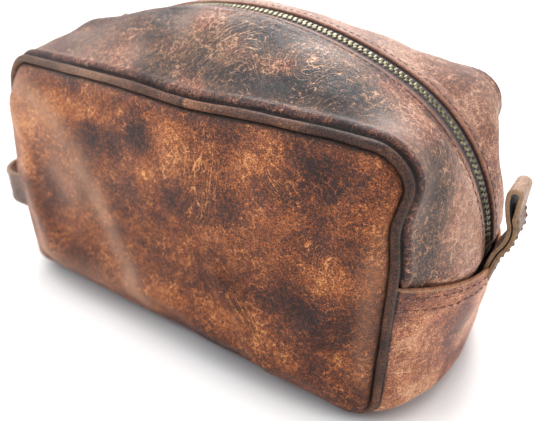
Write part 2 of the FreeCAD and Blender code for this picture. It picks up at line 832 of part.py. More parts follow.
doc.recompute()
os.makedirs("parts", exist_ok=True)
for thing in nodes:
    if "Invalid" in thing.State or "Error" in thing.State:
        raise RuntimeError(f"{thing.Label} failed: {thing.State}")
    shape = thing.Shape
    if shape.isNull() or not shape.isValid() or not shape.Solids:
        raise RuntimeError(f"{thing.Label} has no valid solid")
    shape.exportStep(f"parts/{thing.Label}.step")
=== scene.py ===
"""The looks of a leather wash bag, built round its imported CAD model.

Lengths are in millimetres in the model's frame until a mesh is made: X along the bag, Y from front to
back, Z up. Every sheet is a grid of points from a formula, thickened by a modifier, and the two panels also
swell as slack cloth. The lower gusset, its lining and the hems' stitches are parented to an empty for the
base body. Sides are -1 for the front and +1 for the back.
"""

import json
import math

import bpy
import numpy as np
from mathutils import Matrix, Vector


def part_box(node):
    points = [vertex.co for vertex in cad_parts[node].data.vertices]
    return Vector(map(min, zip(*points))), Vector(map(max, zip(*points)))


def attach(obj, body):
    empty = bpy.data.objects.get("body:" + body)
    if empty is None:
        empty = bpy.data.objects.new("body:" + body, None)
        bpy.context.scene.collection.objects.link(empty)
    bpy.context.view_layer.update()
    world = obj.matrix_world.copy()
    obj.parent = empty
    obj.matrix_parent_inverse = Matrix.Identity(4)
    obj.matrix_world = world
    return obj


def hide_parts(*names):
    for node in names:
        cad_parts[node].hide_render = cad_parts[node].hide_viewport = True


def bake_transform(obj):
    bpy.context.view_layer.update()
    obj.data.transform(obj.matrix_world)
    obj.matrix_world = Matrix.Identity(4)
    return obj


MM = 0.001
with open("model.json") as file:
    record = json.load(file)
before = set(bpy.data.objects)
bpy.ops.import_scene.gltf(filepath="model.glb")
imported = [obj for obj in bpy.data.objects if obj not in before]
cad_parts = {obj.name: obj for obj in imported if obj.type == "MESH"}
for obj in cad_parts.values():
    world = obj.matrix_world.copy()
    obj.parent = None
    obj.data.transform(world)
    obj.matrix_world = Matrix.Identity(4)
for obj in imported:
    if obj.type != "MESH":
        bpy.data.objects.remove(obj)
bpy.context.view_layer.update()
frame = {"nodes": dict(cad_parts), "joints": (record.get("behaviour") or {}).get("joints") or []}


# ---- Places from the frame ----


def box_mm(node):
    """Lowest and highest corner of a CAD node, in millimetres."""
    low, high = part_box(node)
    return np.array(low) / MM, np.array(high) / MM


def joint(name):
    """One joint of the record."""
    return next(j for j in frame["joints"] if j["name"] == name)


pipe_low, pipe_high = box_mm("front_piping_upper")
PIPE = (pipe_high[1] - pipe_low[1]) / 2
SIDE_Y = -(pipe_high[1] + pipe_low[1]) / 2
HALF = pipe_high[0] - PIPE
TOP = pipe_high[2] - PIPE
FOOT = box_mm("front_piping_lower")[0][2] + PIPE
FOLD = joint("front_mouth_open")["pos_m"][2] / MM
TAPE_HALF = 0.4  # half the thickness of the zip's tape
CREST = box_mm("zip_tape_front")[1][2] - TAPE_HALF
CROWN_Z = joint("zip_slide")["pos_m"][2] / MM
CROWN_R = CREST - CROWN_Z
CROWN_TURN = math.radians(26)  # where the zip's wide arc gives way to the tighter arcs of its shoulders
SHOULDER_R = 77.0
SLIDER_X = sum(box_mm("slider_bridge")[n][0] for n in (0, 1)) / 2
TOP_CORNER = 14.0
FOOT_CORNER = 12.0

HEM_SIDE, HEM_MIDDLE = 70.0, 61.5  # the height of the ends' hems at the panels and between them
TUCK = 56.0  # the height where the top gusset ends, behind the hems
NAME = {-1: "front", 1: "back"}
LIP = {-1: 8.4, 1: 5.8}  # from the zip's middle to the edge of the leather
LIP_HEIGHT = 1.7
LEATHER = 1.1
LINING = 0.6
GROOVE = 1.2  # the width of the groove between a panel and its piping
CROWN = 8.8  # how far a panel's middle stands out from its piping's middle
LIP_STITCHES = 2.7  # from the edge of the leather
HEM_STITCHES = (3.4, 9.0)  # from the edge of the hem
LIP_PITCH, HEM_PITCH, TAB_PITCH, HANDLE_PITCH = 3.4, 4.4, 3.4, 4.0  # from stitch to stitch


# ---- Small mathematics ----


def smooth(value, low, high):
    """0 below low, 1 above high, and smooth in between."""
    share = np.clip((np.asarray(value, float) - low) / (high - low), 0, 1)
    return share * share * (3 - 2 * share)


def hill(value, centre, width):
    """A smooth hill of height 1."""
    return np.exp(-(((np.asarray(value, float) - centre) / width) ** 2))


def unit(vectors):
    """Vectors of length 1."""
    return vectors / np.maximum(np.linalg.norm(vectors, axis=-1, keepdims=True), 1e-9)


def ripple(points, size, seed, waves=9):
    """Smooth noise, mostly between -1 and 1, whose bumps are about size wide."""
    random = np.random.default_rng(seed)
    total = np.zeros(points.shape[:-1])
    for _ in range(waves):
        direction = random.normal(size=3)
        direction *= random.uniform(0.6, 1.5) * math.tau / (2 * size * np.linalg.norm(direction))
        total += np.sin(points @ direction + random.uniform(0, math.tau))
    return total / math.sqrt(waves)


def distances(points, axis=0):
    """Distances along the lines of points that run along an axis, each from its line's start."""
    steps = np.linalg.norm(np.diff(points, axis=axis), axis=-1)
    start = np.zeros_like(np.take(steps, [0], axis=axis))
    return np.concatenate([start, np.cumsum(steps, axis=axis)], axis=axis)


def in_space(xz, y=0.0):
    """Points or directions in XZ as points or directions in space."""
    return np.stack([xz[..., 0], np.broadcast_to(y, xz.shape[:-1]), xz[..., 1]], axis=-1)


def outward_of(way):
    """Directions in XZ to the left of a way, so away from the bag for a line over it from left to right."""
    return np.stack([-way[..., 1], way[..., 0]], axis=-1)


class Path:
    """A polyline that is read by distance along it."""

    def __init__(self, points):
        self.points = np.array(points, float)
        self.marks = distances(self.points)
        self.length = self.marks[-1]

    def at(self, distance):
        """Points at distances."""
        return np.stack([np.interp(distance, self.marks, column) for column in self.points.T], axis=-1)

    def way(self, distance, step=0.6):
        """Directions at distances."""
        low = np.clip(distance - step, 0, self.length)
        high = np.clip(distance + step, 0, self.length)
        return unit(self.at(high) - self.at(low))


def arc(centre, radius, start, end, count=40):
    """Points of an arc in two axes; angles are from the second axis towards the first, in radians."""
    turns = np.linspace(start, end, count)
    return [(centre[0] + radius * math.sin(a), centre[1] + radius * math.cos(a)) for a in turns]


def bezier(points, count=30):
    """Points of a quadratic curve through its first and last control point."""
    a, b, c = (np.array(p, float) for p in points)
    return [tuple((1 - q) ** 2 * a + 2 * q * (1 - q) * b + q * q * c) for q in np.linspace(0, 1, count)]


# ---- Driving curves ----


def mirrored(half):
    """A whole line from left to right, from its right half, which runs from the end to the middle."""
    return [(-x, z) for x, z in half] + half[::-1][1:]


def settle(points):
    """The piped outline's slight sag, for points whose first and last columns are X and Z."""
    points = np.array(points, float)
    x, z = points[..., 0], points[..., -1]
    dip = -1.9 * hill(x, 12, 24) * smooth(z, 95, TOP) + 0.5 * hill(x, 78, 10) * smooth(z, 95, TOP)
    waist = (0.9 * hill(z, 112, 8) - 2.0 * hill(z, 94, 10)) * smooth(x, 80, HALF)
    leaned = 4.4 * smooth(z, 92, TOP) * smooth(-x, 70, HALF)
    belly = 6.5 * hill(z, 56, 24) * smooth(-x, 60, HALF)
    points[..., -1] = z + dip
    points[..., 0] = x + waist + leaned - belly
    return points


def outline(low, over_top):
    """The piped outline in XZ from left to right, over the top or round the foot, ending at height low."""
    radius, end = (TOP_CORNER, TOP) if over_top else (FOOT_CORNER, FOOT)
    level, last_turn = (TOP - radius, 0) if over_top else (FOOT + radius, math.pi)
    side = [(HALF, z) for z in np.linspace(low, level, 30)[:-1]]
    corner = arc((HALF - radius, level), radius, math.pi / 2, last_turn)
    across = [(x, end) for x in np.linspace(HALF - radius, 0, 60)[1:]]
    return Path(settle(mirrored(side + corner + across)))


def zip_arch(low):
    """The zip's line in XZ from its left end to its right end at height low."""
    step = CROWN_R - SHOULDER_R
    shoulder = (step * math.sin(CROWN_TURN), CROWN_Z + step * math.cos(CROWN_TURN))
    end = math.acos((low - shoulder[1]) / SHOULDER_R)
    right = arc((0, CROWN_Z), CROWN_R, 0, CROWN_TURN, 80) + arc(shoulder, SHOULDER_R, CROWN_TURN, end, 70)[1:]
    return Path(mirrored(right[::-1]))


# ---- Meshes ----


def add_object(name, data):
    """A new object in the scene."""
    added = bpy.data.objects.new(name, data)
    bpy.context.scene.collection.objects.link(added)
    return added


def new_mesh(name, points, faces):
    """A smooth mesh object that keeps its points' places at rest."""
    points = np.asarray(points, float).reshape(-1, 3)
    mesh = bpy.data.meshes.new(name)
    mesh.from_pydata((points * MM).tolist(), [], [list(map(int, f)) for f in faces])
    mesh.update()
    mesh.polygons.foreach_set("use_smooth", [True] * len(mesh.polygons))
    piece = add_object(name, mesh)
    keep_rest(piece, points)
    return piece


def keep_rest(piece, points):
    """Each point's place at rest in millimetres, for the piece's material."""
    layer = piece.data.attributes.new("rest", "FLOAT_VECTOR", "POINT")
    layer.data.foreach_set("vector", points.astype(np.float32).ravel())


def mesh_points(piece):
    """A piece's points in millimetres."""
    return np.array([v.co for v in piece.data.vertices]) / MM


def paint(piece, **layers):
    """Values for the piece's material, each with one number per point or one for all."""
    for name, values in layers.items():
        layer = piece.data.attributes.new(name, "FLOAT", "POINT")
        values = np.broadcast_to(np.ravel(values), len(piece.data.vertices))
        layer.data.foreach_set("value", values.astype(np.float32))


def grid_faces(rows, columns, wrap_rows=False, wrap_columns=False, start=0):
    """The quads of a grid of points."""
    index = start + np.arange(rows * columns).reshape(rows, columns)
    if wrap_rows:
        index = np.vstack([index, index[:1]])
    if wrap_columns:
        index = np.hstack([index, index[:, :1]])
    quads = np.stack([index[:-1, :-1], index[1:, :-1], index[1:, 1:], index[:-1, 1:]], axis=-1)
    return quads.reshape(-1, 4)


def tube_faces(rings, sides, start=0):
    """The faces of a tube of points, with a cap on each end."""
    last = start + (rings - 1) * sides
    caps = [list(range(start, start + sides))[::-1], list(range(last, last + sides))]
    return grid_faces(rings, sides, wrap_columns=True, start=start).tolist() + caps


def turned_out(points, outward):
    """Unit normals of a grid of points, and whether its middle one points outward."""
    normals = unit(np.cross(np.gradient(points, axis=0), np.gradient(points, axis=1)))
    return normals, normals[points.shape[0] // 2, points.shape[1] // 2] @ outward > 0


def grid_normals(points, outward):
    """Unit normals of a grid of points, on the side that outward names for its middle."""
    normals, right = turned_out(points, outward)
    return normals if right else -normals


def new_sheet(name, points, outward, thickness=LEATHER):
    """A sheet of leather or cloth from a grid of points on its outer face."""
    faces = grid_faces(*points.shape[:2])
    if not turned_out(points, outward)[1]:
        faces = faces[:, ::-1]
    piece = new_mesh(name, points, faces)
    if thickness:
        solid = piece.modifiers.new("thickness", "SOLIDIFY")
        solid.thickness = thickness * MM
        solid.offset = -1
    return piece


def even_steps(points, step):
    """Row numbers of a grid that lie about a step apart, with the first and last row."""
    marks = distances(points).mean(axis=1)
    wanted = np.linspace(0, marks[-1], max(int(marks[-1] / step), 4) + 1)
    return np.unique(np.round(np.interp(wanted, marks, np.arange(len(marks)))).astype(int))


def fill_in(values, rows, columns, shape, passes=10):
    """Spreads values on chosen rows and columns over the whole grid, and smooths them."""
    wide = np.array([np.interp(np.arange(shape[1]), columns, row) for row in values])
    full = np.array([np.interp(np.arange(shape[0]), rows, column) for column in wide.T]).T
    for _ in range(passes):
        full[1:-1] = (full[:-2] + 2 * full[1:-1] + full[2:]) / 4
        full[:, 1:-1] = (full[:, :-2] + 2 * full[:, 1:-1] + full[:, 2:]) / 4
    return full


def drape(points, outward, loose, slack=0.02, pressure=0.3, cap=3.5, dent=1.4, frames=24):
    """Lets a sheet that is held where loose is 0 swell and crumple as slack cloth. Returns its new points.

    No point moves further than cap, nor further than dent against the outward way.
    """
    step = 3.2
    rows, columns = even_steps(points, step), even_steps(points.swapaxes(0, 1), step)
    pick = np.ix_(rows, columns)
    coarse = points[pick]
    piece = new_sheet("drape", coarse, outward, thickness=0)
    held = piece.vertex_groups.new(name="held")
    for n, share in enumerate(1 - loose[pick].ravel()):
        held.add([n], float(share), "REPLACE")
    cloth = piece.modifiers.new("cloth", "CLOTH")
    cloth.settings.vertex_group_mass = "held"
    cloth.settings.quality = 6
    cloth.settings.mass = 0.15
    cloth.settings.bending_stiffness = 0.4
    cloth.settings.shrink_min = -slack
    cloth.settings.use_pressure = True
    cloth.settings.uniform_pressure_force = pressure
    cloth.settings.effector_weights.gravity = 0.4
    cloth.point_cache.frame_end = frames
    for number in range(1, frames + 1):
        bpy.context.scene.frame_set(number)
    result = piece.evaluated_get(bpy.context.evaluated_depsgraph_get())
    moved = mesh_points(result).reshape(coarse.shape) - coarse
    bpy.data.objects.remove(piece)
    bpy.context.scene.frame_set(1)
    far = np.linalg.norm(moved, axis=2, keepdims=True)
    moved *= np.minimum(1, cap / np.maximum(far, 1e-6))
    outward = np.array(outward, float)
    moved -= np.minimum(moved @ outward + dent, 0)[..., None] * outward
    parts = [fill_in(moved[..., n], rows, columns, points.shape[:2]) for n in range(3)]
    return points + np.stack(parts, axis=-1) * loose[..., None]


def fold_with(piece):
    """Bakes a piece's place into its mesh."""
    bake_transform(piece)


def finish_piece(piece, material, slot, *nodes):
    """Gives a piece its material, and hides the CAD nodes it stands for. The slot is not used."""
    piece.data.materials.append(material)
    if nodes:
        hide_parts(*nodes)


# ---- Materials ----


def linear(colour):
    """A display colour, whose three values are 0 to 255, as a linear one."""
    values = [c / 255 for c in colour]
    return tuple(c / 12.92 if c <= 0.04045 else ((c + 0.055) / 1.055) ** 2.4 for c in values) + (1.0,)


class Shader:
    """A short way to write the nodes of a material or a world."""

    def __init__(self, name, kind="materials"):
        self.owner = getattr(bpy.data, kind).new(name)
        self.owner.use_nodes = True
        self.nodes = self.owner.node_tree.nodes
        self.surface = self.nodes.get("Principled BSDF") or self.nodes["Background"]

    def put(self, socket, value):
        """Links or sets an input."""
        if isinstance(value, bpy.types.NodeSocket):
            self.owner.node_tree.links.new(value, socket)
        else:
            socket.default_value = value

    def node(self, kind, inputs=None, **settings):
        """A node with its settings and inputs."""
        made = self.nodes.new(kind)
        for name, value in settings.items():
            setattr(made, name, value)
        for name, value in (inputs or {}).items():
            self.put(made.inputs[name], value)
        return made

    def value(self, name):
        """A painted value."""
        return self.node("ShaderNodeAttribute", attribute_name=name).outputs["Fac"]

    def camera_ray(self):
        """1 for the camera's own rays and 0 for all others."""
        return self.node("ShaderNodeLightPath").outputs["Is Camera Ray"]

    def place(self, stretch=(1, 1, 1), turn=(0, 0, 0), shift=(0, 0, 0)):
        """The point's place at rest in millimetres, stretched after a turn."""
        rest = self.node("ShaderNodeAttribute", attribute_name="rest").outputs["Vector"]
        inputs = {"Vector": rest, "Rotation": turn, "Location": shift}
        turned = self.node("ShaderNodeMapping", inputs).outputs["Vector"]
        scaled = self.node("ShaderNodeMapping", {"Vector": turned, "Scale": stretch})
        return scaled.outputs["Vector"]

    def maths(self, operation, first, second=0.0):
        """A sum, product or the like."""
        return self.node("ShaderNodeMath", {0: first, 1: second}, operation=operation).outputs[0]

    def times(self, first, second):
        """A product."""
        return self.maths("MULTIPLY", first, second)

    def noise(self, place, size, detail=3.0, rough=0.55):
        """Cloudy noise whose blobs are about size wide."""
        inputs = {"Vector": place, "Scale": 1 / size, "Detail": detail, "Roughness": rough}
        return self.node("ShaderNodeTexNoise", inputs).outputs["Fac"]

    def warp(self, place, size, amount):
        """A place pushed about by noise."""
        inputs = {"Vector": place, "Scale": 1 / size, "Detail": 2.0}
        colour = self.node("ShaderNodeTexNoise", inputs).outputs["Color"]
        scaled = self.node("ShaderNodeVectorMath", {0: colour, "Scale": amount}, operation="SCALE")
        return self.node("ShaderNodeVectorMath", {0: place, 1: scaled.outputs[0]}).outputs[0]

    def cells(self, place, size):
        """Distance from the edges in a pattern of cells about size wide."""
        inputs = {"Vector": place, "Scale": 1 / size}
        return self.node("ShaderNodeTexVoronoi", inputs, feature="DISTANCE_TO_EDGE").outputs["Distance"]

    def wave(self, place, scale, distortion, way="X"):
        """Bands across a way."""
        inputs = {"Vector": place, "Scale": scale, "Distortion": distortion}
        return self.node("ShaderNodeTexWave", inputs, bands_direction=way).outputs["Fac"]

    def step(self, value, low, high, start=0.0, end=1.0):
        """A smooth step of a value between two levels."""
        inputs = {"Value": value, "From Min": low, "From Max": high, "To Min": start, "To Max": end}
        return self.node("ShaderNodeMapRange", inputs, interpolation_type="SMOOTHSTEP").outputs[0]

    def total(self, start, *parts):
        """A number plus values times weights, each value measured from a middle: (value, middle, weight)."""
        for value, middle, weight in parts:
            part = self.times(self.maths("SUBTRACT", value, middle), weight)
            start = self.maths("ADD", part, start)
        return start

    def ramp(self, value, colours):
        """Evenly spaced display colours along a value from 0 to 1."""
        made = self.node("ShaderNodeValToRGB", {"Fac": value})
        stops = made.color_ramp.elements
        for _ in colours[2:]:
            stops.new(0.5)
        for n, colour in enumerate(colours):
            stops[n].position = n / (len(colours) - 1)
            stops[n].color = linear(colour)
        return made.outputs["Color"]

    def mix(self, share, first, second):
        """A mix of two colours."""
        made = self.node("ShaderNodeMix", {0: share, 6: first, 7: second}, data_type="RGBA")
        return made.outputs[2]

    def bump(self, height, depth, normal=None, strength=1.0):
        """A bump of a height, in millimetres."""
        inputs = {"Height": height, "Distance": depth * MM, "Strength": strength}
        if normal is not None:
            inputs["Normal"] = normal
        return self.node("ShaderNodeBump", inputs).outputs[0]

    def finish(self, colour, roughness, normal=None, **others):
        """Sets the surface's inputs and returns the material."""
        self.put(self.surface.inputs["Base Color"], colour)
        self.put(self.surface.inputs["Roughness"], roughness)
        if normal is not None:
            self.put(self.surface.inputs["Normal"], normal)
        for name, value in others.items():
            self.put(self.surface.inputs[name.replace("_", " ")], value)
        return self.owner


def crack_net(s, place, cell):
    """A net of fine cracks, coarse in places, in cells about as wide as cell and twice that."""
    bent = s.warp(s.warp(place, 4.5, 4.0), 1.4, 1.1)
    coarse = s.step(s.cells(bent, cell * 1.9), 0.11, 0.02)
    close = s.step(s.cells(s.warp(place, 2.0, 2.2), cell), 0.16, 0.03)
    where = s.step(s.noise(place, 12.0, 3.0, 0.6), 0.4, 0.62, 0.2, 1.0)
    broken = s.step(s.noise(place, 2.2, 2.0), 0.4, 0.55, 0.15, 1.0)
    return s.times(s.maths("MAXIMUM", s.times(coarse, where), s.times(close, 0.5)), broken)


def long_creases(s, place, mottle):
    """Long thin lines where crease is painted, across the painted coordinate comb."""
    rest = s.node("ShaderNodeSeparateXYZ", {0: s.warp(place, 7.0, 5.0)}).outputs
    slow = [s.times(axis, 1 / 17.0) for axis in (rest[0], rest[2])]
    across = s.total(s.times(s.value("comb"), 0.7), (mottle, 0.5, 1.1))
    combed = s.node("ShaderNodeCombineXYZ", {0: across, 1: slow[0], 2: slow[1]}).outputs[0]
    line = s.maths("ABSOLUTE", s.maths("SUBTRACT", s.noise(combed, 1.0, 1.0, 0.4), 0.5))
    return s.times(s.step(line, 0.028, 0.003), s.value("crease"))


def leather(name, tones, haze, edge, seed, clouds, grain, veins, cell=1.7, sheen=0.2, warm=None):
    """Waxed leather that pales where it is bent: clouds, a net of fine cracks, creases, a painted sheen and
    grain.

    The painted values dark and pale shift its tone, crease and comb draw long creases, a pale painted sheen
    is laid where it is painted, edge bares the tan edge, seam lays a near-black painted shade in grooves and
    warm says where the warm tones are.
    """
    s = Shader(name)
    place = s.place(shift=(seed * 37.0, seed * 11.0, seed * 23.0))
    cloud = s.noise(s.warp(place, 26.0, 18.0), 30.0, 3.0, 0.5)
    streaked = s.place(stretch=(0.42, 1, 1), turn=(0, 0.3, 0), shift=(seed * 5.0, 0, 0))
    mottle = s.noise(s.warp(streaked, 9.0, 8.0), 5.5, 2.0, 0.5)
    speck = s.noise(s.warp(place, 1.6, 0.9), 0.8, 2.0, 0.6)
    pebble = s.step(s.cells(s.warp(place, 1.2, 0.6), 0.85), 0.16, 0.02)
    net = crack_net(s, place, cell)
    crease = long_creases(s, place, mottle)
    tone = s.total(
        0.52, (cloud, 0.5, clouds), (mottle, 0.5, 0.42), (speck, 0.5, grain), (pebble, 0.25, -0.34),
        (s.value("pale"), 0.0, 0.2), (s.value("dark"), 0.0, -0.26), (net, 0.35, veins), (crease, 0.0, 0.62),
    )
    colour = s.ramp(tone, tones)
    if warm:
        share = s.total(s.value("warm"), (s.noise(s.warp(place, 9.0, 9.0), 15.0, 4.0), 0.5, 2.5))
        colour = s.mix(s.step(share, 0.1, 0.9), colour, s.ramp(tone, warm))

    # A painted sheen: a pale colour mixed in where it is painted, most on the paler clouds.
    painted_sheen_share = s.times(s.value("haze"), s.step(cloud, 0.3, 0.6, 0.55, 1.0))
    bared = s.times(s.value("edge"), s.step(s.noise(place, 2.0, 3.0), 0.3, 0.6, 0.45, 1.0))
    # The seam value lays a near-black painted shade in the grooves.
    for share, over in ((painted_sheen_share, haze), (bared, edge), (s.value("seam"), (20, 13, 12))):
        colour = s.mix(share, colour, linear(over))

    normal = s.bump(pebble, -0.12, s.bump(speck, 0.35, strength=0.4), 0.6)
    normal = s.bump(net, -0.14, normal, 0.7)
    normal = s.bump(crease, -0.3, normal, 0.8)
    normal = s.bump(s.noise(s.warp(place, 12.0, 8.0), 6.0, 4.0, 0.6), 1.1, normal, 0.5)
    shine = s.total(s.step(cloud, 0.3, 0.7, 0.56, 0.4), (s.noise(place, 1.9, 3.0, 0.6), 0.5, 0.3))
    return s.finish(colour, shine, normal, Sheen_Weight=sheen, Sheen_Roughness=0.4,
                    Sheen_Tint=linear((200, 188, 190)), Specular_IOR_Level=0.4)


def woven(name, warp_colour, weft_colour, pitch=0.45):
    """Plain woven cloth."""
    s = Shader(name)
    place = s.place()
    across, along = (s.wave(place, 0.314 / pitch, 0.4, way) for way in ("X", "DIAGONAL"))
    weave = s.times(across, along)
    warp_colour = linear(warp_colour)
    colour = s.mix(s.step(weave, 0.1, 0.6), warp_colour, linear(weft_colour))
    colour = s.mix(s.step(s.noise(place, 20.0), 0.3, 0.7, 0.0, 0.35), colour, warp_colour)
    normal = s.bump(weave, 0.12, strength=0.8)
    return s.finish(colour, 0.85, normal, Sheen_Weight=0.3)


def aged_metal(name, bright, worn):
    """Antique plated metal, tarnished darker in patches."""
    s = Shader(name)
    place = s.place()
    tarnish = s.step(s.noise(place, 1.7, 4.0, 0.65), 0.35, 0.65)
    colour = s.mix(tarnish, linear(bright), linear(worn))
    roughness = s.step(s.noise(place, 0.6, 3.0), 0.3, 0.7, 0.28, 0.5)
    normal = s.bump(s.noise(place, 0.4, 2.0), 0.03, strength=0.5)
    return s.finish(colour, roughness, normal, Metallic=0.9)


def spun_thread(name, colour_a, colour_b):
    """Twisted thread."""
    s = Shader(name)
    twist = s.wave(s.place(turn=(0.5, 0.6, 0.4)), 0.9, 0.5)
    colour = s.mix(twist, linear(colour_a), linear(colour_b))
    return s.finish(colour, 0.6, s.bump(twist, 0.08), Sheen_Weight=0.2)


def plain_board(name, colour):
    """Pressed board with faint fibres."""
    s = Shader(name)
    fibre = s.noise(s.place(), 2.0, 5.0, 0.7)
    return s.finish(s.mix(fibre, linear(colour), linear((60, 52, 44))), 0.8, s.bump(fibre, 0.1))


panel_leather = leather(
    "panel_leather",
    ((36, 20, 20), (74, 37, 26), (118, 61, 34), (168, 92, 46), (212, 130, 70), (238, 176, 116)),
    haze=(200, 156, 128), edge=(160, 108, 72), seed=3,
    clouds=0.8, grain=0.66, veins=0.5, cell=1.5, sheen=0.04,
)
gusset_leather = leather(
    "gusset_leather",
    ((34, 33, 38), (64, 55, 56), (106, 80, 66), (152, 110, 82), (204, 150, 114), (226, 186, 158)),
    haze=(194, 164, 150), edge=(158, 102, 76), seed=8,
    clouds=0.9, grain=0.6, veins=0.62, cell=1.9, sheen=0.1,
    warm=((42, 27, 28), (76, 46, 42), (116, 70, 56), (160, 102, 78), (206, 146, 114), (232, 184, 154)),
)
# The ends' leather is paler than the gusset leather: its tones are partly its own colour and partly a painted
# light.
lit_end_leather = leather(
    "lit_end_leather",
    ((54, 32, 40), (96, 60, 58), (148, 88, 66), (198, 124, 84), (232, 164, 120), (244, 200, 164)),
    haze=(214, 184, 170), edge=(190, 142, 100), seed=5,
    clouds=1.5, grain=0.6, veins=0.34, sheen=0.12,
)
piping_leather = leather(
    "piping_leather",
    ((30, 19, 16), (56, 33, 25), (86, 52, 38), (118, 76, 54), (168, 112, 76), (196, 146, 110)),
    haze=(160, 140, 120), edge=(150, 106, 80), seed=6,
    clouds=1.0, grain=0.8, veins=0.15, sheen=0.04,
)
strap_leather = leather(
    "strap_leather",
    ((58, 40, 36), (98, 68, 56), (142, 102, 82), (186, 144, 118), (206, 170, 134), (226, 196, 168)),
    haze=(206, 176, 152), edge=(182, 148, 112), seed=2,
    clouds=0.9, grain=0.8, veins=0.2,
)
lining_cloth = woven("lining_cloth", (92, 80, 64), (120, 106, 86))
tape_cloth = woven("tape_cloth", (62, 48, 54), (100, 80, 86), 0.8)
brass = aged_metal("antique_brass", (160, 152, 124), (100, 94, 74))
stitch_thread = spun_thread("stitch_thread", (70, 42, 36), (116, 76, 60))
pale_thread = spun_thread("pale_thread", (112, 92, 72), (158, 134, 108))
board = plain_board("board", (96, 84, 70))


# ---- The two crowned panels ----


def panel_grid(side, across=190, up=120):
    """A grid of points on a side panel's outer face, and each point's distance from the piping."""
    inset, dome_width, rim_width = 0.6, 46, 2.4
    half, low, high = HALF - inset, FOOT + inset, TOP - inset
    share = (1 - np.cos(np.linspace(0, math.pi, up))) / 2
    z = (low + (high - low) * share)[:, None]
    corner = np.where(z > FOLD, TOP_CORNER, FOOT_CORNER) - inset
    past = np.where(z > FOLD, z - high, low - z) + corner
    half_row = half - corner + np.sqrt(np.maximum(corner**2 - np.clip(past, 0, corner) ** 2, 0))
    x = half_row * np.sin(np.linspace(-1, 1, across) * math.pi / 2)
    z = z + 0 * x
    beyond = np.abs(x) - (half - corner)
    reach = np.hypot(np.maximum(beyond, 0), np.maximum(past, 0))
    straight = np.minimum(half - np.abs(x), np.minimum(z - low, high - z))
    gap = np.maximum(np.where((beyond > 0) & (past > 0), corner - reach, straight), 0)

    left = (1 - smooth(x, -HALF, -HALF + 70)) * (1 - smooth(z, 98, 116))
    low_part = 1 - smooth(z, 16, 58)
    if side > 0:
        left, low_part = 0.35 * left, 0.6 * low_part
    rim = 3.0 + 3.4 * np.maximum(left, low_part)
    sag = 3.2 * low_part * smooth(z, -20, 16) + 1.2 * left
    dome = 1 - (1 - np.clip(gap / dome_width, 0, 1)) ** 2
    raised = rim * (1 - np.exp(-np.maximum(gap - GROOVE, 0) / rim_width))
    crown = raised + (CROWN + sag - rim) * dome - 0.8
    lean, over = np.where(x < 0, 7.0, 4.5), np.where(x < 0, 4.5 * left, 0.9)
    away_x = np.sign(x) * over * lip_over(half_row - np.abs(x), lean)
    away_z = -2.2 * low_part * lip_over(z - low)
    points = np.stack([x + away_x, side * (SIDE_Y + crown), z + away_z], axis=-1)
    return settle(points), gap


def lip_over(gap, reach=4.5):
    """How a sheet leans out over its seam: most at a small distance from it."""
    return gap / reach * np.exp(1 - gap / reach)


def dress_panel(side):
    """The front or back panel: slack cloth, with ripples and folds added to it."""
    points, gap = panel_grid(side)
    points = drape(points, (0, side, 0), smooth(gap, 4, 14))
    normals = grid_normals(points, (0, side, 0))
    free = smooth(gap, 0, 9)
    x, z = points[..., 0], points[..., 2]
    marks = panel_marks(side, x, z)
    height = 0.7 * ripple(points, 30, 11 + side) + 0.3 * ripple(points, 12, 12 + side)
    # The painted sheen's bands are also raised a little, as ridges.
    height += 0.8 * marks["haze"] + folds(side, x, z)
    points = points + normals * (free * height)[..., None]
    name = NAME[side]
    piece = new_sheet(f"{name}_panel", points, (0, side, 0))
    # A painted shade, near black, in the groove between the panel and its piping.
    paint(piece, seam=0.95 * (1 - smooth(gap, GROOVE + 0.5, GROOVE + 2.3)), **marks)
    fold_with(piece)
    finish_piece(piece, panel_leather, "oiled_leather", f"{name}_panel_lower", f"{name}_panel_upper")


def spots(places, marks):
    """The sum of soft marks. A mark is its centre's coordinates, its half widths and its strength."""
    total = np.zeros_like(places[0])
    for *numbers, strength in marks:
        count = len(places)
        centre, width = numbers[:count], numbers[count:]
        far = sum(((p - c) / w) ** 2 for p, c, w in zip(places, centre, width))
        total += strength * np.exp(-far)
    return total


def near_line(x, z, line, width):
    """A soft band along a polyline."""
    path = Path(line)
    dense = path.at(np.linspace(0, path.length, 60))
    far = np.min([(x - a) ** 2 + (z - b) ** 2 for a, b in dense], axis=0)
    return np.exp(-far / width**2)


def creases(x, z, bunches):
    """Creases in bunches. Returns where they are and the coordinate that runs across them.

    A bunch is its centre, the angle of its lines in degrees, its half width, its half length and strength.
    """
    where, across = np.zeros_like(x), np.zeros_like(x)
    weights = np.full_like(x, 1e-4)
    for n, (cx, cz, angle, wide, long, strength) in enumerate(bunches):
        turn = math.radians(angle)
        over = (x - cx) * math.sin(turn) - (z - cz) * math.cos(turn)
        along = (x - cx) * math.cos(turn) + (z - cz) * math.sin(turn)
        here = np.exp(-((over / wide) ** 2) - (along / long) ** 2)
        where = np.maximum(where, strength * here)
        across += here * (over + 20 * n)
        weights += here
    return where, across / weights


def folds(side, x, z):
    """The front panel's soft ridges and the hollows beside them, in millimetres."""
    if side > 0:
        return 0 * x
    ridges = 1.5 * near_line(x, z, [(28, 52), (44, 30), (58, 10)], 4.5)
    ridges += 0.9 * near_line(x, z, [(58, 34), (80, 40), (98, 40)], 4.0)
    return ridges - spots((x, z), ((66, 46, 15, 8, 1.4), (24, 26, 14, 10, 1.0), (82, 24, 10, 8, 0.9)))


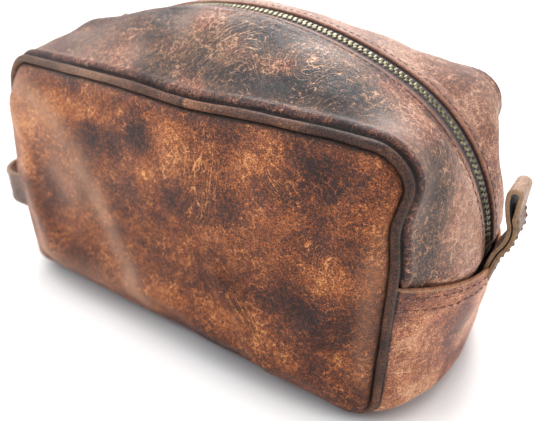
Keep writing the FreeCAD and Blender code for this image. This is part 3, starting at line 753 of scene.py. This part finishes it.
def panel_marks(side, x, z):
    """Where a panel is stained, pale and creased, and where a painted shade, a painted highlight and a
    painted sheen lie on it.
    """
    if side > 0:
        x = -x * 0.9 - 14
        z = 118 - z
    # The wide dark mark at x 30 and z 12 lies along the front's bottom: a painted shade where the panel
    # curves under.
    dark = spots((x, z), (
        (68, 47, 24, 11, 1.3), (82, 25, 10, 9, 0.8), (58, 99, 8, 6, 0.8), (79, 105, 9, 6, 0.9),
        (67, 113, 9, 4, 0.8), (52, 92, 7, 6, 0.7), (25, 83, 11, 10, 0.9), (38, 83, 9, 9, 0.9),
        (78, 83, 7, 7, 0.7), (89, 82, 6, 6, 0.6), (-43, 95, 7, 8, 1.1), (-32, 97, 6, 6, 1.0),
        (-26, 93, 5, 5, 0.9), (-13, 102, 8, 8, 1.3), (-57, 118, 9, 5, 0.9), (-100, 47, 7, 12, 0.5),
        (-71, 58, 15, 12, 0.5), (-20, 77, 9, 9, 0.8), (-56, 24, 12, 8, 0.6), (12, 40, 22, 8, 0.6),
        (-20, 30, 9, 7, 0.6), (96, 60, 8, 12, 0.4), (30, 12, 60, 9, 0.8), (-84, 86, 8, 10, 0.5),
        (8, 80, 8, 7, 0.7), (46, 66, 12, 7, 0.6),
    ))
    # The last pale mark, wide on the upper left, is a painted highlight.
    pale = spots((x, z), (
        (-48, 107, 18, 7, 1.2), (3, 108, 10, 8, 1.0), (-8, 87, 7, 9, 1.1), (6, 60, 20, 9, 0.8),
        (92, 98, 10, 9, 0.7), (78, 66, 20, 7, 0.9), (44, 106, 10, 5, 0.7), (66, 86, 7, 8, 0.5),
        (34, 28, 20, 6, 0.6), (-96, 75, 8, 16, 0.7), (-30, 14, 26, 6, 0.6), (58, 74, 10, 5, 0.6),
        (-70, 100, 10, 12, 0.5), (4, 20, 16, 6, 0.4), (100, 86, 5, 18, 0.5), (-70, 36, 10, 14, 0.5),
        (-86, 88, 26, 22, 0.6),
    ))
    # A painted sheen: pale bands along the rolled ridges on the left, a strip by the right edge and patches
    # on the left.
    haze = 0.5 * near_line(x, z, [(-92, 112), (-75, 103), (-55, 87), (-46, 68), (-34, 40), (-18, 18)], 6.5)
    haze += 0.55 * near_line(x, z, [(-99, 50), (-95, 36), (-90, 20), (-80, 10)], 5.0)
    haze += 0.22 * hill(HALF - x, 6, 5) * smooth(z, 10, 40) * (1 - smooth(z, 84, 104))
    haze += 0.45 * spots((x, z), ((-62, 70, 15, 16, 1.0), (-100, 92, 8, 20, 0.7), (-60, 14, 40, 9, 0.8)))
    where, comb = creases(x, z, (
        (22, 88, 88, 11, 26, 1.0), (5, 98, 100, 9, 18, 0.7), (62, 100, -38, 8, 17, 0.9),
        (45, 32, -52, 9, 24, 1.0), (78, 80, 92, 7, 15, 0.9), (72, 60, -12, 6, 26, 0.7),
        (94, 40, 60, 6, 20, 0.7), (30, 52, 20, 5, 20, 0.6), (-12, 60, 76, 7, 16, 0.5),
    ))
    if side > 0:
        haze = 0.5 * haze
    return {"dark": dark, "pale": pale, "haze": haze, "crease": where, "comb": comb}


# ---- The gussets ----


def top_gusset_grid(side, along=300, across=64):
    """A grid of points on half of the top gusset, from the piping to the lip, and the lip's outward ways."""
    share = np.linspace(0, 1, along)
    (lip, lip_out), (seam, seam_out) = (
        (path.at(share * path.length), outward_of(path.way(share * path.length)))
        for path in (zip_arch(TUCK), outline(TUCK, True))
    )
    flat_from, fullness = 15.0, 9.5
    start = in_space(seam - seam_out * 0.2, side * (SIDE_Y - 1.2))
    turn = in_space(lip + lip_out * (LIP_HEIGHT + 0.3), side * flat_from)
    end = in_space(lip + lip_out * LIP_HEIGHT, side * LIP[side])
    control = (start + turn) / 2 + in_space(unit(lip_out + seam_out)) * fullness
    q = np.linspace(0, 1, across)[None, :, None]
    curve = (1 - q) ** 2 * start[:, None] + 2 * q * (1 - q) * control[:, None] + q**2 * turn[:, None]
    p = np.linspace(0, 1, 14)[None, 1:, None]
    flat = turn[:, None] + (end - turn)[:, None] * p
    return np.concatenate([curve, flat], axis=1), in_space(lip_out)


def roll_edge(edge, toward, out, radius, under=5.0):
    """Columns that turn a sheet's edge over: round, and back underneath."""
    columns = []
    for turn in np.linspace(0.3, math.pi, 8):
        columns.append(edge + toward * radius * math.sin(turn) + out * radius * (math.cos(turn) - 1))
    for back in (under / 2, under):
        columns.append(edge - toward * back - out * 2 * radius)
    return np.stack(columns, axis=1)


def dress_top_gusset(side):
    """Half of the top gusset. Returns the line of its stitches and their normals."""
    points, out = top_gusset_grid(side)
    normals = grid_normals(points, (0, 0, 1))
    from_seam = distances(points, 1)
    from_lip = from_seam[:, -1:] - from_seam
    free = smooth(from_seam, 6, 16) * smooth(from_lip, 4, 16)
    height = free * (0.8 * ripple(points, 30, 21 + side) + 0.3 * ripple(points, 12, 22 + side))
    height += 1.5 * smooth(from_seam, 2.1, 3.4) * (1 - smooth(from_seam, 5.0, 7.6))
    height += side_bulge(side, points) * smooth(from_seam, 4, 20) * smooth(from_lip, 0, 12)
    height += 0.25 * (1 - smooth(from_lip, 8.2, 9.6)) - 0.3 * hill(from_lip, LIP_STITCHES, 0.5)
    hem = hem_height(points[..., 1])
    height -= 2.4 * (1 - smooth(points[..., 2], hem - 3, hem + 7))
    points = points + normals * height[..., None]
    toward = np.tile([0.0, -side, 0.0], (len(points), 1))
    rolled = roll_edge(points[:, -1], toward, out, radius=0.6)
    whole = np.concatenate([points, rolled], axis=1)
    name = NAME[side]
    piece = new_sheet(f"{name}_gusset_top", whole, (0, 0, 1), thickness=0.9)

    def spread(values, last=0.0):
        return np.pad(values, ((0, 0), (0, rolled.shape[1])), constant_values=last)

    marks = top_marks(side, whole)
    seam_band = spread(hill(from_seam, 3.8, 1.9))
    lip_band = spread(hill(from_lip, 0.0, 9.0), 1.0)
    marks["dark"] = marks["dark"] + 0.5 * seam_band
    marks["warm"] = marks["warm"] + 0.9 * seam_band + 0.5 * lip_band
    # A painted sheen lies about 8.5 mm from the seam, less on the seam band.
    marks["haze"] = marks["haze"] * (1 - seam_band) + 0.1 * spread(hill(from_seam, 8.5, 3.0))
    marks["edge"] = spread(0.8 * (1 - smooth(from_lip, 0.8, 2.0)), 0.5)
    # A painted shade, near black, in the groove by the piping.
    marks["seam"] = spread(0.97 * (1 - smooth(from_seam, 2.5, 3.2)))
    paint(piece, **marks)
    fold_with(piece)
    finish_piece(piece, gusset_leather, "gusset_leather", f"{name}_top_gusset")
    sewn = int(np.argmin(np.abs(from_lip[len(points) // 2] - LIP_STITCHES)))
    return Path(points[:, sewn]), normals[:, sewn]


def side_bulge(side, points):
    """How far the top gusset's front half swells beside the slider."""
    if side > 0:
        return 0 * points[..., 0]
    return 4.2 * hill(points[..., 0], SLIDER_X, 14) * hill(points[..., 1], -15, 10)


def top_marks(side, points):
    """Where the top gusset is stained, pale and creased, and where painted light and a painted sheen lie on
    it.
    """
    x, y, z = points[..., 0], np.abs(points[..., 1]), points[..., 2]
    if side > 0:
        dark = spots((x, y, z), (
            (96, 34, 122, 12, 12, 14, 0.8), (104, 46, 104, 7, 10, 14, 1.0), (20, 30, 140, 22, 12, 20, 0.7),
            (-60, 30, 130, 20, 14, 20, 0.8), (-104, 24, 100, 8, 16, 16, 0.7), (60, 16, 140, 14, 6, 9, 0.5),
        ))
        # The back half is paler all over, a painted light from behind, with a painted sheen on its upper
        # part.
        pale = 0.85 + 0.4 * hill(y, 20, 12)
        haze = 0.3 * smooth(z, 90, 140)
        warm = 0.3 + 0.6 * pale
    else:
        dark = spots((x, y, z), (
            (8, 36, 132, 9, 10, 20, 1.5), (42, 44, 130, 18, 5, 20, 1.4), (30, 24, 141, 14, 9, 20, 1.3),
            (58, 34, 135, 16, 7, 20, 1.2), (84, 40, 130, 14, 7, 14, 0.9), (113, 44, 84, 8, 7, 16, 1.1),
            (-24, 18, 142, 12, 8, 20, 1.0), (-60, 28, 134, 18, 12, 20, 0.7), (-100, 30, 100, 12, 14, 20, 0.9),
            (112, 44, 104, 7, 9, 9, 0.8),
        ))
        # The strong pale mark at the right shoulder, at x 122 and z 90, is partly paler leather and partly
        # painted light.
        pale = spots((x, y, z), (
            (-33, 44, 126, 8, 6, 14, 1.2), (11, 48, 122, 8, 4, 14, 1.3), (40, 34, 136, 26, 4, 20, 1.0),
            (122, 16, 90, 12, 16, 26, 1.6), (0, 22, 142, 10, 10, 20, 0.7), (100, 34, 124, 10, 14, 12, 1.0),
            (88, 20, 134, 14, 8, 12, 0.7), (-104, 14, 110, 14, 12, 20, 0.8), (116, 30, 66, 10, 16, 8, 0.8),
        ))
        # A painted sheen in patches.
        haze = spots((x, y, z), (
            (-25, 40, 128, 7, 8, 16, 0.5), (-12, 18, 142, 7, 14, 20, 0.5), (-70, 40, 126, 30, 12, 24, 0.45),
            (98, 42, 128, 12, 9, 12, 0.6), (107, 46, 110, 6, 8, 14, 0.3), (122, 20, 92, 10, 18, 30, 0.35),
            (-100, 40, 110, 14, 12, 24, 0.4), (-50, 12, 142, 30, 6, 20, 0.35),
        ))
        warm = 0.75 * pale + 0.4 * smooth(-x, 0, 60) - 0.5 * dark + 0.15
    where, comb = creases(x, y, (
        (20, 30, -52, 26, 26, 1.0), (60, 36, -64, 22, 14, 1.0), (-14, 40, -30, 12, 14, 0.7),
        (96, 30, 70, 14, 20, 0.6), (112, 34, 20, 10, 24, 0.5),
    ))
    return {"dark": dark, "pale": pale, "haze": haze, "crease": where, "comb": comb, "warm": warm}


def hem_height(y):
    """The hem's height across an end of the bag."""
    return HEM_MIDDLE + (HEM_SIDE - HEM_MIDDLE) * (np.abs(y) / SIDE_Y) ** 1.6


def middle_line():
    """The lower gusset's line in XZ midway between the panels, from the left hem to the right hem."""
    waist, heel = (125.6, 9.5), (116.0, 0.2)
    right = bezier([(129.6, HEM_SIDE), (127.4, 36.0), waist])
    right += bezier([waist, (118.6, 0.6), heel])[1:]
    right += [(x, heel[1]) for x in np.linspace(heel[0], 0, 40)[1:]]
    return Path(mirrored(right))


def lower_gusset_grid(along=420, across=90):
    """A grid of points on the lower gusset: the left end, the bottom and the right end."""
    seam, middle = outline(HEM_SIDE, False), middle_line()
    share_y = np.sin(np.linspace(-1, 1, across) * math.pi / 2)
    y = share_y * (SIDE_Y - 0.9)
    drop = HEM_SIDE - hem_height(y)
    share = np.linspace(0, 1, along)[:, None]
    seam_at = drop + share * (seam.length - 2 * drop)
    middle_at = drop + share * (middle.length - 2 * drop)
    edge, mid = seam.at(seam_at), middle.at(middle_at)
    edge = edge + outward_of(seam.way(seam_at)) * 0.2
    fullness = np.maximum(1 - share_y**2, 0) ** (0.5 + 0.42 * smooth(mid[..., 1], 8, 44))
    return in_space(edge + (mid - edge) * fullness[..., None], y)


def end_marks(points):
    """Where the lower gusset is stained, pale and creased, and where painted light and a painted sheen lie on
    it.
    """
    x, y, z = (points[..., n] for n in range(3))
    gap = SIDE_Y - np.abs(y)
    where, comb = creases(z, gap, ((30, 8, 78, 26, 10, 0.8), (14, 20, 60, 8, 14, 0.6)))
    dark = spots((np.abs(x), y, z), (
        (126, -20, 40, 9, 10, 9, 0.9), (120, 14, 24, 10, 12, 9, 0.8), (124, -40, 18, 9, 8, 9, 0.7),
        (128, 20, 52, 9, 14, 7, 0.8), (124, -6, 16, 12, 12, 6, 0.7),
    ))
    # A painted sheen in two patches.
    haze = spots((x, y, z), ((122, -10, 34, 14, 16, 12, 1.0), (-124, 0, 40, 14, 40, 20, 1.0)))
    # The ends are paler all over, a painted light, and paler still about 12 mm up.
    return {"dark": dark + 0.5 * hill(gap, 4, 3), "pale": 0.6 * hill(z, 12, 12) + 0.7, "haze": 0.35 * haze,
            "crease": where, "comb": comb}


def hem_lines(points, normals, from_hem):
    """The lines of the hems' stitches at both ends of the bag: (end, path, normals)."""
    lines = []
    columns = np.arange(points.shape[1])
    for end, order in (("left", slice(None)), ("right", slice(None, None, -1))):
        for drop in HEM_STITCHES:
            rows = np.abs(from_hem[order][:80] - drop).argmin(axis=0)
            lines.append((end, Path(points[order][rows, columns]), normals[order][rows, columns]))
    return lines


def dress_lower_gusset():
    """The lower gusset with its folded hems. Returns the lines of its stitches."""
    points = lower_gusset_grid()
    normals = grid_normals(points, (0, 0, -1))
    along, over = distances(points), distances(points, 1)
    from_hem, from_side = np.minimum(along, along[-1:] - along), np.minimum(over, over[:, -1:] - over)
    gap = SIDE_Y - np.abs(points[..., 1])
    lifted = smooth(points[..., 2], 2.0, 14.0)
    free = smooth(gap, 3, 14) * lifted * smooth(from_hem, 6, 22)
    height = free * (0.7 * ripple(points, 24, 31) + 0.3 * ripple(points, 10, 32))
    pucker = np.sin(points[..., 2] / 2.4 + 2.0 * ripple(points, 18, 33))
    height += 0.32 * pucker * hill(gap, 6, 6) * lifted * smooth(from_hem, 8, 14)
    height += 0.9 * (1 - smooth(from_hem, 10.2, 11.8))
    for drop in HEM_STITCHES:
        height -= 0.3 * hill(from_hem, drop, 0.6)
    points = points + normals * height[..., None]
    points[..., 2] = np.maximum(points[..., 2], 0.15)
    first, last = (
        roll_edge(points[row], unit(points[row] - points[inner]), normals[row], 0.8, 8.0).swapaxes(0, 1)
        for row, inner in ((0, 1), (-1, -2))
    )
    whole = np.concatenate([first[::-1], points, last], axis=0)
    piece = new_sheet("lower_gusset", whole, (0, 0, -1))

    def spread(values, ends=0.0):
        return np.pad(values, ((len(first), len(last)), (0, 0)), constant_values=ends)

    # A painted shade, near black, in the groove by the piping.
    paint(piece, edge=spread(0.9 * (1 - smooth(from_hem, 0.1, 0.9)), 0.5),
          seam=spread(0.95 * (1 - smooth(from_side, 2.3, 3.1))), **end_marks(whole))
    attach(piece, "bag_base")
    finish_piece(piece, lit_end_leather, "gusset_leather", "left_end_gusset", "right_end_gusset", "bottom_panel")
    return hem_lines(points, normals, from_hem)


# ---- Piping ----


def closed_outline():
    """The whole piped outline, from the fold on the left over the top and round the foot."""
    over, under = outline(FOLD, True), outline(FOLD, False)
    return Path(np.concatenate([over.points, under.points[::-1][1:]]))


def tube(line, radius, sides=14):
    """Points of a round tube along a closed line in the XZ plane."""
    way = unit(np.roll(line, -1, axis=0) - np.roll(line, 1, axis=0))
    out = unit(np.cross(way, [0.0, 1.0, 0.0]))
    turns = np.linspace(0, math.tau, sides, endpoint=False)[None, :, None]
    rings = out[:, None] * np.cos(turns) + np.array([0.0, 1.0, 0.0]) * np.sin(turns)
    return line[:, None] + rings * radius[:, None, None]


def dress_piping(side, count=760):
    """The piping round a side panel, with the joint of its two ends on the front's top edge."""
    loop = closed_outline()
    line = in_space(loop.at(np.linspace(0, loop.length, count, endpoint=False)), side * SIDE_Y)
    slim = 0.84 - 0.14 * (1 - smooth(line[:, 2], 4, 24))
    points = tube(line, slim * PIPE * (1.0 + 0.05 * ripple(line, 9, 41 + side)))
    name = NAME[side]
    piece = new_mesh(f"{name}_piping", points, grid_faces(*points.shape[:2], True, True))
    x, upper = points[..., 0], smooth(points[..., 2], 100, 115)
    joint_x = 11.0
    joint = hill(x, joint_x, 1.0) * upper * (side < 0)
    pale = 1.2 * smooth(x, joint_x, joint_x + 1) * (1 - smooth(x, 20, 40)) * upper + 0.6 * hill(x, -50, 50)
    # The piping is darker towards the right and paler on the left, with a painted sheen on its upper left;
    # its joint is dark.
    paint(piece, dark=0.5 * smooth(x, 40, 100) + 0.8 * joint, pale=pale,
          haze=0.25 * hill(x, -60, 40) * upper, seam=0.55 * joint)
    fold_with(piece)
    nodes = [f"{name}_{part}_{level}" for part in ("piping", "cord") for level in ("lower", "upper")]
    finish_piece(piece, piping_leather, "piping_leather", *nodes)


# ---- Stitches ----


def stitch_row(lines, pitch, length=0.68, radius=0.36, lift=0.25):
    """Points, faces and middles of rows of stitches. Each line is (path, normals along it)."""
    rings, sides = 7, 6
    share = np.linspace(-1, 1, rings)[:, None, None]
    turns = np.linspace(0, math.tau, sides, endpoint=False)[:, None]
    thick = radius * np.sqrt(np.maximum(0.06, 1 - share**4))
    points, faces, middles = [], [], []
    for path, normals in lines:
        marks = np.arange(pitch / 2, path.length, pitch)
        ways = path.way(marks)
        outs = np.stack([np.interp(marks, path.marks, column) for column in normals.T], axis=-1)
        outs = unit(outs - ways * np.sum(outs * ways, axis=1, keepdims=True))
        for centre, way, out in zip(path.at(marks), ways, outs):
            middle = centre + way * share * pitch * length / 2 + out * lift * (1 - 1.6 * share**2)
            ring = out * np.cos(turns) + np.cross(way, out) * np.sin(turns)
            faces.extend(tube_faces(rings, sides, len(points) * rings * sides))
            points.append((middle + ring * thick).reshape(-1, 3))
            middles.append(np.tile(centre, (rings * sides, 1)))
    return np.concatenate(points), faces, np.concatenate(middles)


def sew(name, lines, pitch, node, side=None, **sizes):
    """A piece made of rows of stitches, on a side's half of the mouth or on the base."""
    points, faces, middles = stitch_row(lines, pitch, **sizes)
    piece = new_mesh(name, points, faces)
    if side is None:
        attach(piece, "bag_base")
    else:
        fold_with(piece)
    finish_piece(piece, stitch_thread, "thread", node)


# ---- Zip ----

TOOTH_PITCH = 2.5
TAPE_EDGE, TAPE_WIDTH = 1.0, 12.0  # a tape's inner and outer edge, from the zip's middle


def parting(x):
    """How far the chain stands open at rest, left of the slider."""
    return 1.7 * (1 - smooth(x, SLIDER_X - 2, SLIDER_X + 4))


def dress_tape(side):
    """One woven tape of the zip."""
    arch = zip_arch(FOLD - 4)
    marks = np.linspace(0, arch.length, 300)
    line, out = in_space(arch.at(marks)), in_space(outward_of(arch.way(marks)))
    inner = TAPE_EDGE + parting(line[:, :1])
    share = np.linspace(0, 1, 16)[None, :]
    bead = 0.2 * hill(share, 0.05, 0.06)
    points = line[:, None] + out[:, None] * (TAPE_HALF * (1 - 0.4 * share) + bead)[..., None]
    points[..., 1] = side * (inner + (TAPE_WIDTH - inner) * share)
    name = NAME[side]
    piece = new_sheet(f"{name}_zip_tape", points, (0, 0, 1), thickness=2 * TAPE_HALF)
    fold_with(piece)
    finish_piece(piece, tape_cloth, "zip_tape", f"zip_tape_{name}")


def tooth_shape(side):
    """One tooth at the origin, its X along the zip and Z outwards: points and faces."""
    half, root = 0.66, 1.1
    upper = [(2.9, 0.85), (2.6, 1.25), (1.2, 1.3), (0.5, 1.05), (-0.2, 0.95), (-0.75, 0.6)]
    profile = [(2.9, -0.85), *upper, (-0.85, 0.0), *((y, -z) for y, z in upper[:0:-1])]
    rounding = ((-half, 0.84), (-half * 0.72, 1.0), (half * 0.72, 1.0), (half, 0.84))
    points = [(x, side * (root + (y - root) * grow), z * grow) for x, grow in rounding for y, z in profile]
    faces = tube_faces(len(rounding), len(profile))
    return np.array(points), [f[::side] for f in faces]


def dress_teeth(side):
    """One side's teeth, half a pitch off the other side's."""
    arch = zip_arch(FOLD + 5)
    count = int(arch.length / TOOTH_PITCH)
    marks = (np.arange(count) + (0.25 if side < 0 else 0.75)) * TOOTH_PITCH
    xz, way = arch.at(marks), arch.way(marks)
    bases = in_space(xz, side * parting(xz[:, 0]))[:, None]
    shape, shape_faces = tooth_shape(side)
    along, across, out = shape.T[..., None]
    teeth = bases + in_space(way)[:, None] * along + in_space(outward_of(way))[:, None] * out
    teeth[..., 1] += across[:, 0]
    faces = [[n * len(shape) + corner for corner in f] for n in range(count) for f in shape_faces]
    name = NAME[side]
    piece = new_mesh(f"{name}_zip_teeth", teeth, faces)
    fold_with(piece)
    rounded = piece.modifiers.new("rounding", "SUBSURF")
    rounded.levels = rounded.render_levels = 1
    finish_piece(piece, brass, "zip_metal", f"zip_teeth_{name}")


# ---- Straps ----


def strap(name, line, across, width, thick):
    """A strap of two layers swept along a line, its width along across. Returns it and its outward way."""
    across = np.broadcast_to(np.array(across, float), line.shape)
    out = unit(np.cross(unit(np.gradient(line, axis=0)), across))
    half, rise = width / 2, thick / 2
    round_in, groove = 0.5, 0.22
    profile = [(share * (half - round_in), rise) for share in np.linspace(-1, 1, 15)]
    profile += [(half - 0.12, rise - 0.3), (half, rise * 0.45), (half - groove, 0.0), (half, -rise * 0.45),
                (half - 0.12, 0.3 - rise)]
    profile = np.array(profile + [(-a, -b) for a, b in profile])
    points = line[:, None] + across[:, None] * profile[None, :, :1] + out[:, None] * profile[None, :, 1:]
    piece = new_mesh(name, points, tube_faces(*points.shape[:2]))
    edge = smooth(np.abs(profile[:, 0]), half - 0.45, half - 0.1)
    # A painted shade, near black, in the groove between the two layers.
    seam = 0.8 * (np.abs(profile[:, 1]) < 0.01)
    paint(piece, edge=np.tile(edge, len(line)), seam=np.tile(seam, len(line)))
    return piece, out


def finish_strap(piece, node, hinge, thread, line, out, axis, reach, pitch, **sizes):
    """Sews a strap, and bakes the strap and its stitches in place.

    The stitches follow a line on the strap's face, at reach on each side of it along an axis. The hinge is
    not used.
    """
    rows = []
    for edge in (-1, 1):
        row = line.copy()
        row[:, axis] += edge * reach
        rows.append((Path(row), out))
    points, faces, _ = stitch_row(rows, pitch, **sizes)
    sewn = new_mesh(f"{node}_stitches", points, faces)
    for part in (piece, sewn):
        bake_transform(part)
    finish_piece(piece, strap_leather, "strap_leather", node)
    finish_piece(sewn, thread, "thread", f"{node.split('_')[1]}_stitches")


def tab_line(middle, foot, top, arm, eye):
    """The pull tab's line in XZ: up its outer arm, round the eye and down its inner arm.

    The arms are arm away from the line between them, and the eye has the radius eye.
    """
    knee, neck = (middle + 2.3, foot + 8.5), (middle + 2.6, top - 12.4)
    spine = bezier([(middle - 1.6, foot - 7), (middle - 0.9, foot + 3.5), knee], 16)
    spine += bezier([knee, (middle + 5.2, foot + 15.5), neck], 16)[1:]
    spine = np.array(spine)
    left = outward_of(unit(np.gradient(spine, axis=0)))
    outer, inner = spine - left * arm, spine + left * arm
    centre = (middle + 1.7, top - eye)
    loop = arc(centre, eye, math.radians(105), math.radians(-105), 40)
    rise = bezier([outer[-1], (outer[-1][0] + 0.2, centre[1] - 1.5 * eye), loop[0]], 10)
    fall = bezier([loop[-1], (loop[-1][0] - 0.4, centre[1] - 1.3 * eye), inner[-1]], 10)
    points = [tuple(p) for p in outer] + rise[1:-1] + loop + fall[1:-1] + [tuple(p) for p in inner[::-1]]
    return Path(points)


def dress_tab():
    """The folded pull tab at the zip's right end, with its stitches."""
    low, high = box_mm("pull_tab")
    foot, middle, width = low[2], (low[0] + high[0]) / 2, high[1] - low[1]
    thick, eye, arm_length = 1.9, 2.2, 32
    path = tab_line(middle, foot, high[2] - thick / 2 - 0.6, thick / 2 + 0.12, eye)
    marks = np.linspace(0, path.length, 180)
    line = in_space(path.at(marks))
    piece, out = strap("pull_tab_strap", line, (0, 1, 0), width, thick)
    out = out * np.sign(out[20, 0])
    grid = mesh_points(piece)
    height = (grid[:, 2] - foot) / (high[2] - foot)
    # The tab is darker at its foot and paler towards its top, with a painted sheen on its upper part.
    paint(piece, dark=0.8 * hill(height, 0.0, 0.3) + 0.55, pale=0.9 * smooth(height, 0.5, 0.95),
          haze=0.3 * smooth(height, 0.6, 1.0))
    # The faces inside the eye are painted near black, a painted shade.
    rise = np.sum((grid.reshape(len(line), -1, 3) - line[:, None]) * out[:, None], axis=2)
    inner = 0.96 * (rise < 0.1 - thick / 2)
    piece.data.attributes["seam"].data.foreach_set("value", inner.astype(np.float32).ravel())
    arm = np.flatnonzero(marks < arm_length)[8:]
    stitched = (line + out * thick / 2)[arm], out[arm], 1, width / 2 - 1.1, TAB_PITCH
    hinge = (middle, 0, foot - 3), (middle, 0, foot + 5)
    finish_strap(piece, "pull_tab", hinge, pale_thread, *stitched, radius=0.4, lift=0.2)


def dress_handle():
    """The strap across the left end, with its stitches."""
    low, high = box_mm("side_handle")
    level, width, thick = (low[2] + high[2]) / 2, high[2] - low[2], 2.2
    reach, bend = low[0] + thick / 2, 19.0
    side = SIDE_Y - 0.4
    corner = arc((reach + bend, bend - side), bend, math.pi, math.pi * 1.5, 30)
    root = [(x, -side) for x in np.linspace(-HALF + 1, reach + bend, 14)[:-1]]
    half = root + corner + [(reach, y) for y in np.linspace(-side + bend, 0, 14)[1:]]
    xy = Path(half + [(x, -y) for x, y in half[::-1][1:]])
    x, y = xy.at(np.linspace(0, xy.length, 150)).T
    bow = 1.2 * np.cos(y / side * math.pi / 2)
    sag = -2.0 * np.clip((-HALF - x) / 40, 0, 1)
    line = np.stack([x + bow, y, level + sag], axis=-1)
    piece, out = strap("side_handle_strap", line, (0, 0, 1), width, thick)
    out = out * np.sign(-out[len(line) // 2, 0])
    paint(piece, dark=1.2)
    free = slice(22, -22)
    stitched = (line + out * thick / 2)[free], out[free], 2, width / 2 - 1.8, HANDLE_PITCH
    hinge = (-HALF - 1, 0, level), (-HALF - 16, 0, level)
    finish_strap(piece, "side_handle", hinge, stitch_thread, *stitched)


# ---- Inside ----


def inside(points, outward, depth):
    """A coarser grid that lies depth inside another."""
    normals = grid_normals(points, outward)
    return (points - normals * depth)[::3, ::3]


def dress_linings():
    """The cloth linings behind every sheet."""
    for side, name in NAME.items():
        panel, _ = panel_grid(side)
        gusset, _ = top_gusset_grid(side)
        for part, points, outward, depth in (("panel", panel[6:-6, 8:-8], (0, side, 0), 3.2),
                                             ("gusset", gusset[:, 4:-3], (0, 0, 1), 4.2)):
            piece = new_sheet(f"{name}_{part}_lining", inside(points, outward, depth), outward, LINING)
            fold_with(piece)
            nodes = ("lining_lower", "lining_upper") if part == "panel" else ("top_lining",)
            finish_piece(piece, lining_cloth, "lining_cloth", *(f"{name}_{node}" for node in nodes))
    down = (0, 0, -1)
    piece = new_sheet("lower_lining", inside(lower_gusset_grid()[6:-6, 4:-4], down, 3.6), down, LINING)
    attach(piece, "bag_base")
    finish_piece(piece, lining_cloth, "lining_cloth", "left_end_lining", "right_end_lining")


def dress_cad_nodes():
    """Materials for the CAD nodes that stay, and rounded edges for the metal ones."""
    metal = ("zip_slider", "slider_bridge", "zip_pull", "zip_top_stop_front", "zip_top_stop_back",
             "zip_bottom_stop")
    wanted = {"bottom_board": board, "bottom_lining": lining_cloth} | dict.fromkeys(metal, brass)
    for node, material in wanted.items():
        piece = frame["nodes"][node]
        keep_rest(piece, mesh_points(piece))
        piece.data.materials.clear()
        piece.data.materials.append(material)
        if node in metal:
            rounded = piece.modifiers.new("rounding", "BEVEL")
            rounded.width = 0.22 * MM
            rounded.segments = 2
            rounded.limit_method = "ANGLE"


# ---- Stage ----


def make_floor():
    """A white floor with a painted contact shadow, darker close to the bag. Its glow for the camera grows
    outwards, up to plain white, and fades in that shadow.
    """
    size = 6.0
    corners = [(-size, -size, 0), (size, -size, 0), (size, size, 0), (-size, size, 0)]
    mesh = bpy.data.meshes.new("floor")
    mesh.from_pydata(corners, [], [(0, 1, 2, 3)])
    floor = add_object("floor", mesh)
    floor.location.z = -0.0004
    s = Shader("floor")
    open_sky = s.step(s.node("ShaderNodeAmbientOcclusion", {"Distance": 0.036}).outputs["AO"], 0.25, 0.85)
    spot = s.node("ShaderNodeNewGeometry").outputs["Position"]
    away = s.node("ShaderNodeVectorMath", {0: spot}, operation="LENGTH").outputs["Value"]
    glow = s.times(s.camera_ray(), s.times(open_sky, s.step(away, 0.4, 2.0, 0.4, 1.0)))
    # A painted contact shadow: the floor turns grey where the bag hides the sky.
    pale = s.mix(open_sky, (0.5, 0.5, 0.52, 1), (0.9, 0.9, 0.9, 1))
    mesh.materials.append(s.finish(pale, 0.9, Specular_IOR_Level=0.1, Emission_Color=(1, 1, 1, 1),
                                   Emission_Strength=glow))


def make_light(name, place, target, size, power):
    """A soft square light that points at a target, in metres."""
    data = bpy.data.lights.new(name, "AREA")
    data.size = size
    data.energy = power
    lamp = add_object(name, data)
    lamp.location = place
    lamp.rotation_euler = (Vector(target) - Vector(place)).to_track_quat("-Z", "Y").to_euler()


def make_lights():
    """A bright even room, which the camera sees as plain white, with soft lights above."""
    ambient = 0.55
    s = Shader("studio", "worlds")
    level = s.node("ShaderNodeMapRange", {"Value": s.camera_ray(), "To Min": ambient, "To Max": 1.0})
    s.put(s.surface.inputs["Strength"], level.outputs[0])
    s.put(s.surface.inputs["Color"], (1, 1, 1, 1))
    bpy.context.scene.world = s.owner
    centre = (0, 0, 0.07)
    make_light("above_back", (-0.35, 0.75, 0.95), centre, 0.9, 18.0)
    make_light("front_left", (-0.8, -0.6, 0.7), centre, 0.7, 8.0)
    make_light("right_back", (0.9, 0.2, 0.6), centre, 0.7, 3.4)


def make_camera():
    """The camera, at a three-quarter view from above, focused on the front panel's upper right."""
    azimuth, elevation, roll = (math.radians(a) for a in (33.79, 29.79, -0.73))
    place = (0.15687, -0.21088, 0.19355)
    focus = add_object("focus", None)
    focus.location = (0.07, -0.055, 0.095)
    data = bpy.data.cameras.new("camera")
    data.sensor_width = 36.0
    data.lens = 37.36
    data.clip_start = 0.01
    data.dof.use_dof = True
    data.dof.aperture_fstop = 12.0
    data.dof.focus_object = focus
    camera = add_object("camera", data)
    turned = Matrix.Rotation(azimuth, 4, "Z") @ Matrix.Rotation(math.pi / 2 - elevation, 4, "X")
    camera.matrix_world = Matrix.Translation(place) @ turned @ Matrix.Rotation(-roll, 4, "Z")
    bpy.context.scene.camera = camera


# ---- Build ----

for side, name in NAME.items():
    dress_panel(side)
    dress_piping(side)
    lip_line = dress_top_gusset(side)
    sew(f"{name}_lip_thread", [lip_line], LIP_PITCH, f"{name}_lip_stitches", side, radius=0.26, lift=0.1)
    dress_tape(side)
    dress_teeth(side)
sewn_lines = dress_lower_gusset()
for end in ("left", "right"):
    lines = [(path, outs) for at, path, outs in sewn_lines if at == end]
    sew(f"{end}_hem_thread", lines, HEM_PITCH, f"{end}_hem_stitches", radius=0.28)
dress_tab()
dress_handle()
dress_linings()
dress_cad_nodes()

bpy.context.scene.view_settings.view_transform = "Standard"
make_floor()
make_lights()
make_camera()
